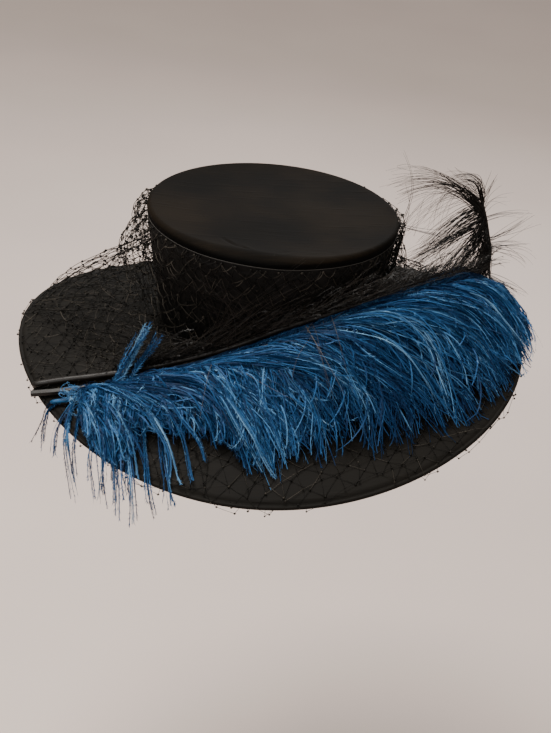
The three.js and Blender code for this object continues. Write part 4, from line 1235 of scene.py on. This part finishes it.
def trims():
    """The quills, the standing black plume and the loose hairs and strands."""
    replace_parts(quill("black_quill", QUILL_BLACK, 120, BLACK_HORN, "black_feather"), "black_plume")
    quill("blue_quill", QUILL_BLUE, 30, BLUE_HORN, "blue_feather")
    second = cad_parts["second_quill"]
    second.data.materials.clear()
    second.data.materials.append(BLACK_HORN)
    rooted = [(tuple(quill_at(z) for z in heights), *rest) for heights, *rest in STANDING_FAMILIES]
    strands("black_plume_hairs", (*rooted, *END_FAMILIES), 81, BLACK_BARBS, "black_feather")
    # These hairs take the lighter tones: painted light where they catch it over the crown
    strands("black_front_hairs", FRONT_FAMILIES, 83, BLACK_BARBS, "black_feather", (0.3, 1.3))
    strands("highlight_strands", HIGHLIGHT_FAMILIES, 85, HIGHLIGHT_BARBS, "black_feather", (0.0, 1.0))
    strands("black_lone_hairs", LONE_FAMILIES, 89, BLACK_BARBS, "black_feather")
    black_edge()


# Floor, light and camera

def stage():
    corners = [(x * FLOOR_HALF, y * FLOOR_HALF, FLOOR_Z) for x, y in ((-1, -1), (1, -1), (1, 1), (-1, 1))]
    mesh = bpy.data.meshes.new("floor")
    mesh.from_pydata(corners, [], [(0, 1, 2, 3)])
    mesh.materials.append(floor_look())
    floor = bpy.data.objects.new("floor", mesh)
    bpy.context.scene.collection.objects.link(floor)
    world = bpy.data.worlds.new("studio")
    bpy.context.scene.world = world
    world.use_nodes = True
    sky = world.node_tree.nodes["Background"].inputs
    sky["Color"].default_value = SKY_COLOUR
    sky["Strength"].default_value = SKY_STRENGTH
    for name, place, target, size, power, colour in LIGHTS:
        light = bpy.data.lights.new(name, "AREA")
        light.energy = power
        light.size = size
        light.color = colour
        lamp = bpy.data.objects.new(name, light)
        lamp.location = place
        aim = Vector(target) - Vector(place)
        lamp.rotation_euler = aim.to_track_quat("-Z", "Y").to_euler()
        bpy.context.scene.collection.objects.link(lamp)


def camera():
    """The photo's view, turned a little about its own axis because the hat sits tilted."""
    level = math.cos(VIEW_RISE)
    back = np.array([math.sin(VIEW_AZIMUTH) * level, -math.cos(VIEW_AZIMUTH) * level, math.sin(VIEW_RISE)])
    right = unit(np.cross(-back, [0, 0, 1]))
    up = np.cross(right, -back)
    x = math.cos(VIEW_ROLL) * right + math.sin(VIEW_ROLL) * up
    y = -math.sin(VIEW_ROLL) * right + math.cos(VIEW_ROLL) * up
    place = (VIEW_TARGET + back * VIEW_DISTANCE) * MM
    data = bpy.data.cameras.new("photo_camera")
    data.sensor_fit = "VERTICAL"
    data.sensor_height = SENSOR_HEIGHT
    data.lens = VIEW_FOCAL / PHOTO_HEIGHT * SENSOR_HEIGHT
    data.clip_end = 50
    cam = bpy.data.objects.new("photo_camera", data)
    columns = [list(x), list(y), list(back), list(place)]
    cam.matrix_world = Matrix([[columns[c][r] for c in range(4)] for r in range(3)] + [[0, 0, 0, 1]])
    bpy.context.scene.collection.objects.link(cam)
    bpy.context.scene.camera = cam


# Build

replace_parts(crown_tip(), "crown_tip")
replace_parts(crown_side(), "crown_side")
seam_thread()
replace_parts(brim(), "brim")
nets()
blue_plume()
trims()
stage()
camera()
